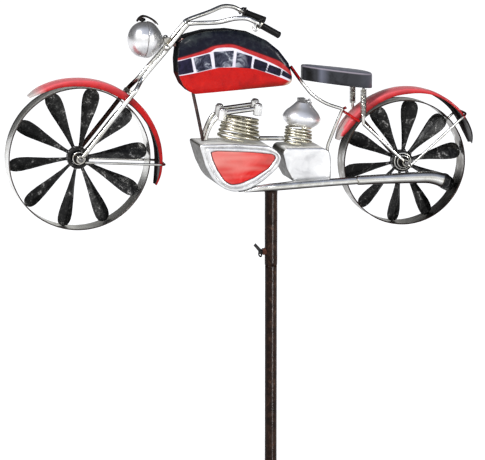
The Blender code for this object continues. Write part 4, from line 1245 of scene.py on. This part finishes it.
def build_engine():
    outline = rounded(ENGINE, 6)
    bm = bmesh.new()
    hoop(bm, outline, SHEET, ENGINE_HALF - SHEET, 0.4)
    # Painted highlight: the band is laid lighter along its top.
    dye_and_light(bm, "painted_top_light", lambda i, v: 1.3 * min((v.co.z - 102.0) / 4.0, (v.co.x + 100.0) / 6.0))
    finish("engine_wall", bm, CASE_GREY, "engine_band")
    middle = Vector(ENGINE_MIDDLE)
    rays = 200
    outer = polar(outline, middle, rays)
    inner = polar(rounded(INLAY_EDGE, 6), middle, rays)
    rims = ((0.0, 0.8), (0.03, 1.3), (0.10, 1.9), (0.22, 2.15), (0.36, 2.1), (0.43, 1.2),
            (0.48, 0.9), (0.53, 1.2), (0.62, 2.1), (0.76, 2.25), (0.88, 2.1), (0.955, 1.6),
            (0.985, 0.9), (1.0, 0.6))
    for name, side in SIDES:
        y = side * (ENGINE_HALF - SHEET + GAP)
        bm = bmesh.new()
        rings = [at_depth(outer, y)]
        for share, rise in rims:
            rings.append([Vector((p.x, y + side * rise, p.y))
                          for p in (a.lerp(b, share) for a, b in zip(outer, inner))])
        skin(bm, rings)
        for x in (-53.2, -48.8):
            lathe(bm, [(0.2, 2.9), (0.9, 2.7), (1.3, 2.2), (1.3, 1.6)],
                  (x, y, 114.0), (0, side, 0), 16)
        dent(bm, 0.14, 0.06, side * 3.0)
        # Painted shade: the trim's outer edge and its edge by the inlay are darkened into dark
        # outlines.
        dye_and_light(bm, "shade_and_tarnish", lambda i, v: 0.7 if i // rays in (0, 1, 13, 14) else 0.0)
        finish("engine_cover_" + name + "_trim", bm, PALE_CAST, "engine_cover_" + name, angle=45)
        bm = bmesh.new()
        rings = [at_depth([p.lerp(middle, 0.004) for p in inner], y + side * 0.6)]
        for share, rise in ((0.012, 0.72), (0.03, 1.05), (0.08, 1.25), (0.16, 1.35), (0.26, 1.42),
                            (0.38, 1.47), (0.52, 1.5), (0.68, 1.52), (0.84, 1.53),
                            (0.995, 1.53)):
            rings.append(at_depth([p.lerp(middle, share) for p in inner], y + side * rise))
        skin(bm, rings)
        dent(bm, 0.10, 0.07, side * 5.0)
        # Painted highlight: the inlay turns pink towards its top and left.
        dye_and_light(bm, "painted_highlight", lambda i, v: (
            0.34 + (v.co.z - 84.0) / 50.0 - (v.co.x + 46.0) / 170.0
            + 0.5 * noise.noise(Vector((v.co.x * 0.03, side, v.co.z * 0.16)))))
        # Painted shade: a dark outline along the inlay's edge.
        dye_and_light(bm, "shade_and_lining", lambda i, v: 1.0 if i < rays * 2 else 0.0)
        finish("engine_inlay_" + name, bm, INLAY)

    outline = rounded(GEARBOX, 6)
    bm = bmesh.new()
    hoop(bm, outline, SHEET, GEARBOX_HALF - SHEET, 0.4)
    # Painted highlight: the band is laid lighter along its top.
    dye_and_light(bm, "painted_top_light", lambda i, v: 1.3 * min((v.co.z - 98.0) / 4.0, (v.co.x - 10.0) / 4.0))
    finish("gearbox_wall", bm, CASE_GREY, "gearbox_band")
    levels = [(0, 0.6), (0.6, 1.2), (2.0, 1.9), (4.0, 2.35), (8.0, 2.75), (12.0, 2.95),
              (20.0, 3.0)]
    rays = 160
    for name, side in SIDES:
        bm = bmesh.new()
        y = side * (GEARBOX_HALF - SHEET + GAP)
        pressed(bm, outline, GEARBOX_MIDDLE, y, side, levels, rays, 20)
        # Painted shade: the plate's outer edge is darkened into a dark outline.
        dye_and_light(bm, "shade_and_tarnish", lambda i, v: 0.7 if i < rays * 2 else 0.0)
        finish("gearbox_plate_" + name, bm, PALE_CAST, "gearbox_cover_" + name, angle=50)


def coil(bm, base, lean, height, low_r, high_r, turns, wire, wobble, slant):
    """An open coil whose axis leans towards +X by some degrees, wound by hand."""
    tilt = math.radians(lean)
    across = Vector((math.cos(tilt), 0, -math.sin(tilt)))
    along = Vector((math.sin(tilt), 0, math.cos(tilt)))
    points = []
    total = int(turns * 40)
    for k in range(total + 1):
        share = k / total
        angle = 2 * math.pi * turns * share + math.pi / 2
        drift = wobble * noise.noise(Vector((k * 0.06, 3.1, 0.4)))
        sink = 0.7 * wobble * noise.noise(Vector((k * 0.05, 9.2, 5.4)))
        sink -= slant * math.cos(angle) * math.sin(math.pi * min(1.0, share * 1.1)) ** 0.5
        r = low_r + (high_r - low_r) * share + min(drift, 0.0)
        points.append(Vector(base) + along * (height * share + sink)
                      + r * (math.cos(angle) * across + math.sin(angle) * Vector((0, -1, 0))))
    rod(bm, points, wire, 10)


def build_cylinders():
    for name, *winding in (("front", (-43.0, 0, 118.9), 9, 28.0, 26.6, 21.6, 6, 1.75, 2.0, 1.6),
                           ("rear", (35, 0, 111.2), 5, 20.5, 17.2, 16.4, 5, 1.6, 1.6, 1.2)):
        finish(name + "_cylinder_coil", made(coil, *winding), SILVER_COIL, name + "_coil")

    for name, side, lift in (("left", -1, 0.0), ("right", 1, 3.6)):
        y = side * 9.0
        front = Vector((-66.0, y, 152.6 + lift))
        back = Vector((-19.5, y, 157.6 + lift))
        finish("rocker_" + name, made(rod, evenly([front, back], 6), 2.9, 20), SILVER,
               "rocker_bar_" + name)
        bm = bmesh.new()
        up = Vector((0.15, 0, 0.99)).normalized()
        low = 9.2 if side < 0 else 8.6
        for end in (front, back):
            nut(bm, end - up * low, up, 6.1, low + 4.6, 3.0)
        finish("rocker_nuts_" + name, bm, NUT_SILVER, bevel=0.9)
        pipe = [(-72.6, y, 147.5 + lift), (-79, y, 140.5 + lift * 0.6), (-84.5, y, 130.5),
                (-88, y, 119.4)]
        finish("header_" + name, made(rod, through(pipe, 8), 2.5, 18), SILVER,
               "header_pipe_" + name)

    finish("intake", made(rod, evenly([(-15.4, 0, 118.0), (15.4, 0, 117.0)], 4), 3.0, 20), SILVER,
           "intake_pipe")

    lean = math.radians(8)
    axis = Vector((math.sin(lean), 0, math.cos(lean)))
    foot = Vector((38.4, 0, 131.6))
    bm = bmesh.new()
    lower = [(12.0, 0), (14.6, 0.3), (16.6, 1.0)]
    body = curved([(18.4, 2.2), (21.2, 4.6), (23.5, 7.6), (24.6, 11), (23.7, 14.6), (20.4, 19.6),
                   (15.0, 24.8), (11.2, 29.0), (9.6, 31)], 5)
    lathe(bm, lower + body + [(0.3, 31)], foot, axis, 80)
    finish("cylinder_head", bm, BULB_CHROME, "cylinder_bulb", angle=45)
    bm = bmesh.new()
    box(bm, 35.2, 44.0, -5.0, 5.0, 158.5, 168.6)
    for k, (dx, dz) in enumerate(((0.0, 0.0), (3.6, 1.2), (1.6, -3.4), (5.0, -2.6))):
        blob(bm, (46.0 + dx, -1.6, 164.4 + dz), (2.0, 2.0, 1.9), k * 2.3, 0.4)
    finish("cylinder_cap", bm, CAP_GREY, bevel=0.8)


def build_exhaust():
    pipe = [(-42, -29.5, 54.4, 1.0), (-32, -31, 56.2, 2.6), (-20, -33.5, 58.6, 4.4),
            (-8, EXHAUST_Y + 1, 60.0, 5.0), (8, EXHAUST_Y, 60.9, 5.0),
            (30, EXHAUST_Y, 61.9, 5.0), (60, EXHAUST_Y, 63.3, 5.0), (104, EXHAUST_Y, 65.0, 5.0)]
    smooth = through(pipe, 6)
    finish("exhaust_front", made(rod, [p.xyz for p in smooth], [p.w for p in smooth], 28), SILVER,
           "exhaust_pipe")
    muffler = [(104 + GAP, 65.0, 5.2), (105.4, 65.0, 5.9), (108, 65.1, 6.1), (135, 65.6, 6.3),
               (165, 66.0, 7.0), (195, 66.0, 7.7), (207, 64.6, 8.4), (217, 61.8, 9.2)]
    smooth = through(muffler, 6)
    route = [(p.x, EXHAUST_Y, p.y) for p in smooth]
    finish("exhaust_rear", made(rod, route, [p.z for p in smooth], 32, domed=False), SILVER,
           "muffler")
    start = Vector((217, EXHAUST_Y, 61.8))
    axis = Vector((10, 0, -2.8)).normalized()
    bm = bmesh.new()
    tip = [(8.6, GAP), (9.4, 0.5), (9.6, 3.0), (9.3, 5.0), (8.6, 6.8), (7.4, 8.3), (6.4, 8.9),
           (5.8, 8.6), (5.4, 7.2), (5.2, 5.0), (2.0, 4.6), (0.2, 4.6)]
    lathe(bm, tip, start, axis, 40)
    finish("exhaust_mouth", bm, BLACK, "muffler_tip")


# ---------------------------------------------------------------- seat and rear

def seat_height(x):
    """The height of the seat's top edge."""
    return SEAT_FRONT_Z - (x - SEAT_X0) * SEAT_SLOPE


def build_seat():
    half_plan = [(40.0, 5.5), (46.0, 11.0), (58.0, 17.0), (75.0, 22.5), (95.0, 26.0),
                 (112.0, 26.0), (123.0, 21.0), (129.5, 13.0), (132.0, 4.0)]
    near = [Vector((p.x, -p.y)) for p in through(half_plan, 5)]
    plan = near + [Vector((p.x, -p.y)) for p in reversed(near)]
    middle = Vector((90, 0))
    rings = []
    for distance, height in ((2.6, -19.0), (0.7, -18.9), (0.1, -18.2), (0.15, -12.0),
                             (0.1, -4.4), (0.05, -2.6), (0.25, -1.2), (0.9, -0.35),
                             (2.0, 0.0)):
        ring = []
        for p in plan:
            q = p + (middle - p).normalized() * distance
            ring.append((q.x, q.y, seat_height(q.x) + height))
        rings.append(ring)
    for share in (0.12, 0.28, 0.46, 0.64, 0.82, 0.97):
        ring = []
        for p in plan:
            q = p.lerp(Vector((max(52, min(p.x, 120)), 0)), share)
            swell = 1.5 * (1 - (1 - share) ** 2)
            ring.append((q.x, q.y, seat_height(q.x) + swell))
        rings.append(ring)
    bm = bmesh.new()
    skin(bm, rings)
    count = len(plan)

    # Painted sheen: the top is laid a lighter blue-grey, and bands along the sides are lighter
    # too, standing in for reflections.
    def painted_sheen(i, v):
        ring = i // count
        if ring > 7:
            return 0.15 + 0.85 * min(1.0, (ring - 7) / 2.0)
        overlaid = min(max(0.0, (v.co.x - 56.0) / 5.0), 0.10 + max(0.0, 71.0 - v.co.x) / 12.0)
        return overlaid + max(0.0, (v.co.x - 108.0) / 50.0)

    dye_and_light(bm, "painted_sheen", painted_sheen)
    # Painted highlight: a pale line along the near side's top edge.
    dye_and_light(bm, "painted_edge_shading", lambda i, v: 0.75 if i // count in (6, 7) and v.co.y < 0 else 0.0)
    finish("saddle", bm, VINYL, "seat", angle=50)


def stay_route(foot, tail, clear, y):
    """A wire from one side's foot, across the outside of the fender's tail, to the other's."""
    reach = (tail - foot).normalized()
    near = foot + reach * clear
    edge = tail - reach * 5.0
    turn = tail - reach
    side = [Vector((near.x, -y, near.y)), Vector((edge.x, -y, edge.y)),
            Vector((turn.x, -y + 3.0, turn.y)), Vector((tail.x, -9, tail.y))]
    return side + [Vector((p.x, -p.y, p.z)) for p in reversed(side)]


def build_rear_frame():
    hub_x, hub_z = REAR_HUB
    for name, side, (x, foot, spring_foot) in (("left", -1, LEFT_POST),
                                               ("right", 1, RIGHT_POST)):
        seat_z = seat_height(x) - SEAT_SKIRT
        top = Vector((x, side * POST_Y, seat_z - 0.8))
        bend = Vector((x, side * POST_Y, foot))
        eye_at = Vector((hub_x, side * STRUT_Y, hub_z))
        down = (eye_at - bend).normalized()
        soft = [bend + Vector((0, 0, 4)), bend + Vector((0.4, 0, 1.4)), bend + down * 1.6,
                bend + down * 5]
        bm = bmesh.new()
        line = [top] + through(soft, 4) + evenly([bend + down * 6, eye_at - down * 4.4], 8)
        rod(bm, line, STRUT_R, 18)
        eye(bm, *eye_at, STRUT_EYE_R)
        rod(bm, [eye_at + down * (AXLE_R + 1.4), eye_at + down * STRUT_TAIL], 1.8, 14)
        # Painted shade: the far post is darkened below its bend.
        if side > 0:
            dye_and_light(bm, "shade_and_tarnish", lambda i, v: 0.9 * min(1.0, (foot - 2.0 - v.co.z) / 6.0))
        finish("post_" + name, bm, SILVER, "seat_post_" + name)
        bm = bmesh.new()
        height = top.z - 0.6 - spring_foot
        total = int(height / SPRING_PITCH) * 22
        points = []
        for k in range(total + 1):
            angle = 2 * math.pi * k / 22
            points.append(Vector((x + SPRING_R * math.cos(angle),
                                  side * POST_Y + SPRING_R * math.sin(angle),
                                  spring_foot + 0.6 + (height - 1.2) * k / total)))
        rod(bm, points, 0.62, 8)
        finish("spring_" + name, bm, SILVER, "seat_spring_" + name)

    route = [(110.4, -STRUT_Y - 1, 139.2), (104.5, -STRUT_Y, 142.5), (99.0, -17, 146.5),
             (97.0, 0, 148.4), (97.5, 17, 149.0), (101.0, STRUT_Y, 150.0),
             (104.6, STRUT_Y, 151.4)]
    finish("fender_bridge", made(rod, through(route, 7), STRAP_R, 16), RED, "rear_fender_strap")

    down = (Vector(REAR_HUB) - Vector(LEFT_POST[:2])).normalized()
    foot = Vector(REAR_HUB) + down * (STRUT_TAIL - 0.6)
    tail = on_arc(REAR_FENDER, REAR_PROFILE, 39.5, WIRE_R + GAP)
    build_stay("rear", stay_route(foot, tail, 2.3, STRUT_Y))
    foot = Vector((FRONT_HUB[0], FRONT_HUB[1] - 3.3))
    tail = on_arc(FRONT_FENDER, FRONT_PROFILE, -4.3, WIRE_R + GAP)
    build_stay("front", stay_route(foot, tail, 6.0, LEG_Y))


def build_stay(prefix, route):
    """The silver stay, with the red lacquer its loop picks up round the fender."""
    line = evenly(route[:2], 8) + through(route[1:7], 6)[1:] + evenly(route[6:], 8)[1:]
    bm = bmesh.new()
    rod(bm, line, WIRE_R, 16)
    tail = route[3]
    dye_and_light(bm, "overspray",
        lambda i, v: (9.0 - math.hypot(v.co.x - tail.x, v.co.z - tail.z)) / 5.0)
    finish(prefix + "_brace", bm, SILVER, prefix + "_stay")


def fender(bm, centre, profile, stations=96):
    """A rolled mudguard of channel section with a faint crown line and hemmed edges."""
    start = profile[0][0]
    end = profile[-1][0]
    rings = []
    for i in range(stations + 1):
        degrees = start + (end - start) * i / stations
        from_end = min(degrees - start, end - degrees)
        narrow = 0.42 + 0.58 * math.sin(min(from_end / 12.0, 1.0) * math.pi / 2)
        half = FENDER_HALF * narrow
        top, left, right = profile_at(profile, degrees)
        over = []
        under = []
        for side, drop in ((-1, left), (1, right)):
            outside = [(half, drop), (half, drop * 0.6 + 1.0), (half - 0.05, 2.3),
                       (half - 0.5, 1.5), (half - 1.5, 0.95), (half * 0.72, 0.62),
                       (half * 0.42, 0.36), (half * 0.16, 0.14)]
            inside = [(half - 0.9, drop), (half - 0.95, drop * 0.6 + 1.0), (half - 1.1, 2.9),
                      (half - 1.6, 2.3), (half - 2.6, 1.85), (half * 0.66, 1.5),
                      (half * 0.4, 1.3), (half * 0.16, 1.15)]
            over.append([(side * y, top - d) for y, d in outside])
            under.append([(side * y, top - d) for y, d in inside])
        section = (over[0] + [(0.0, top)] + list(reversed(over[1]))
                   + under[1] + [(0.0, top - 1.1)] + list(reversed(under[0])))
        angle = math.radians(degrees)
        rings.append([(centre[0] + r * math.cos(angle), y, centre[1] + r * math.sin(angle))
                      for y, r in section])
    skin(bm, rings)


def build_fenders():
    for prefix, centre, profile in (("front", FRONT_FENDER, FRONT_PROFILE),
                                    ("rear", REAR_FENDER, REAR_PROFILE)):
        bm = bmesh.new()
        fender(bm, centre, profile)
        dent(bm, 0.18, 0.05, 4.0 if prefix == "front" else 6.0)
        shade_and_lining = bm.verts.layers.float.new("shade_and_lining")
        highlight_and_rubbed = bm.verts.layers.float.new("highlight_and_rubbed")
        painted_highlight = bm.verts.layers.float.new("painted_highlight")
        per_ring = 34
        for i, v in enumerate(bm.verts):
            place = i % per_ring
            degrees = math.degrees(math.atan2(v.co.z - centre[1], v.co.x - centre[0]))
            # Painted shade: the inside of the channel is laid dark, partly a dark inner coat.
            # Painted highlight: the crown turns pink.
            inner = 1.0 if place >= per_ring // 2 else 0.0
            crown = max(0.0, min(1.0, (place - 0.8) / 3.0)) if place < per_ring // 2 else 0.0
            if prefix == "front":
                # Front: painted shade along the near flange's edge over its rear part, and a pale
                # tip, partly painted highlight, partly rubbed paint.
                painted_edge_shading = max(0.0, min(1.0, (56.0 - degrees) / 8.0)) if place < 1 else 0.0
                v[highlight_and_rubbed] = max(0.0, (degrees - 114.0) / 12.0)
                v[painted_highlight] = crown * min(1.0, max(0.0, (degrees - 40.0) / 30.0))
            else:
                # Rear: painted shade along the near flange's edge, the tail end laid dark as
                # well, and a pale painted highlight on the crown's front.
                painted_edge_shading = max(0.0, min(1.0, (72.0 - degrees) / 10.0)) if place < 1 else 0.0
                painted_edge_shading = max(painted_edge_shading, max(0.0, min(1.0, (38.5 - degrees) / 3.0)))
                v[highlight_and_rubbed] = max(0.0, (degrees - 128.0) / 30.0) if v.co.y > -13 else 0.0
                v[painted_highlight] = crown * min(1.0, max(0.0, (degrees - 40.0) / 40.0))
            v[shade_and_lining] = max(inner, painted_edge_shading)
        finish(prefix + "_mudguard", bm, RED, prefix + "_fender")


# ---------------------------------------------------------------- studio

def lay_floor():
    bm = bmesh.new()
    bmesh.ops.create_grid(bm, x_segments=2, y_segments=2, size=60.0)
    mesh = bpy.data.meshes.new("studio_floor")
    bm.to_mesh(mesh)
    bm.free()
    mesh.materials.append(floor_paper())
    floor = put("studio_floor", mesh)
    floor.location = (0, 0, -PRONG_LENGTH * MM - 0.0005)


CAMERA_REACH = 4.0


def turned_to(aim):
    """The rotation that turns a lamp or a camera to look along a direction."""
    return aim.to_track_quat("-Z", "Y").to_euler()


def place_camera():
    """Put the camera at the photo's angle. It gives the direction from the object to it."""
    camera = put("camera", bpy.data.cameras.new("camera"))
    target = Vector((-0.0376, 0, 0.740))
    azimuth = math.radians(-13.0)
    rise = math.radians(9.6)
    away = Vector((math.sin(azimuth) * math.cos(rise), -math.cos(azimuth) * math.cos(rise),
                   math.sin(rise)))
    camera.location = target + away * CAMERA_REACH
    camera.rotation_euler = turned_to(target - camera.location)
    camera.data.lens = 231.6
    camera.data.sensor_width = 36.0
    camera.data.clip_end = 200.0
    bpy.context.scene.camera = camera
    return away


def lamp(name, shape, spot, aim, width, power):
    data = bpy.data.lights.new(name, "AREA")
    data.shape = shape
    data.size = width
    data.energy = power
    light = put(name, data)
    light.location = spot
    light.rotation_euler = turned_to(aim - Vector(spot))
    return light


def hang_lamps():
    middle = Vector((-0.03, 0, 0.75))
    lamp("key", "DISK", (-2.3, -1.2, 3.0), middle, 0.9, 84.0)
    lamp("side", "DISK", (2.3, -2.6, 1.7), middle, 0.7, 38.0)
    lamp("front", "DISK", (-0.8, -3.6, 2.6), middle, 1.0, 30.0)
    strip = lamp("strip", "RECTANGLE", (0.85, -2.4, 0.8), Vector((0, 0, 0.8)), 0.16, 130.0)
    strip.data.size_y = 1.9
    lit = bpy.data.collections.new("pole_light")
    for obj in bpy.context.scene.objects:
        if obj.type == "MESH" and BRONZE.name in obj.data.materials:
            lit.objects.link(obj)
    strip.light_linking.receiver_collection = lit


def build_sky(away):
    """A sky by height, bright behind the camera and straight behind the object.

    A veil darkens it all round between the two, so that bright metal has dark edges.
    Both stay where they are when the camera moves.
    """
    world = bpy.data.worlds.new("studio")
    bpy.context.scene.world = world
    world.use_nodes = True
    graph = Graph(world.node_tree, "Generated")
    split = graph.add("SeparateXYZ")
    graph.wire(graph.place, split.inputs["Vector"])
    height = graph.spread(split.outputs["Z"], 0.0, 1.0, -1.0, 1.0)
    sky = graph.add("ValToRGB")
    set_stops(sky, ((0.0, (0.9, 0.9, 0.9, 1)), (0.50, (0.80, 0.80, 0.76, 1)),
                    (0.56, (0.90, 0.90, 0.86, 1)), (0.66, (1.0, 1.0, 1.0, 1)),
                    (0.74, (0.85, 0.88, 0.95, 1)), (0.83, (0.30, 0.34, 0.46, 1)),
                    (1.0, (0.60, 0.65, 0.80, 1))))
    graph.wire(height, sky.inputs["Fac"])
    facing = graph.add("VectorMath")
    facing.operation = "DOT_PRODUCT"
    graph.wire(graph.place, facing.inputs[0])
    facing.inputs[1].default_value = away
    behind = graph.spread(facing.outputs["Value"], 0.0, 1.0, -1.0, 1.0)
    veil = graph.add("ValToRGB")
    set_stops(veil, [(position, (grey, grey, grey, 1)) for position, grey in
                     ((0.0, 0.9), (0.02, 0.9), (0.06, 0.03), (0.52, 0.04), (0.66, 0.45),
                      (0.78, 0.94))])
    graph.wire(behind, veil.inputs["Fac"])
    veiled = graph.add("VectorMath")
    veiled.operation = "SCALE"
    graph.wire(sky.outputs["Color"], veiled.inputs[0])
    graph.wire(veil.outputs["Color"], veiled.inputs["Scale"])
    graph.wire(veiled.outputs["Vector"], graph.tree.nodes["Background"].inputs["Color"])


TANK_SIDE = tank_paint()
TANK_EDGE = tank_edge_paint()
build_stake()
build_socket()
build_wheel("front", FRONT_HUB, FRONT_R, 12.6, RIM_METAL)
build_wheel("rear", REAR_HUB, REAR_R, 8.0, SHADED_RIM)
build_fork()
build_headlight()
build_tank()
build_frame()
build_engine()
build_cylinders()
build_exhaust()
build_seat()
build_rear_frame()
build_fenders()
for node in ("front_bush", "rear_bush"):
    for place in frame["nodes"][node].material_slots:
        place.material = BRASS
lay_floor()
hang_lamps()
build_sky(place_camera())
bpy.context.scene.view_settings.view_transform = "Standard"
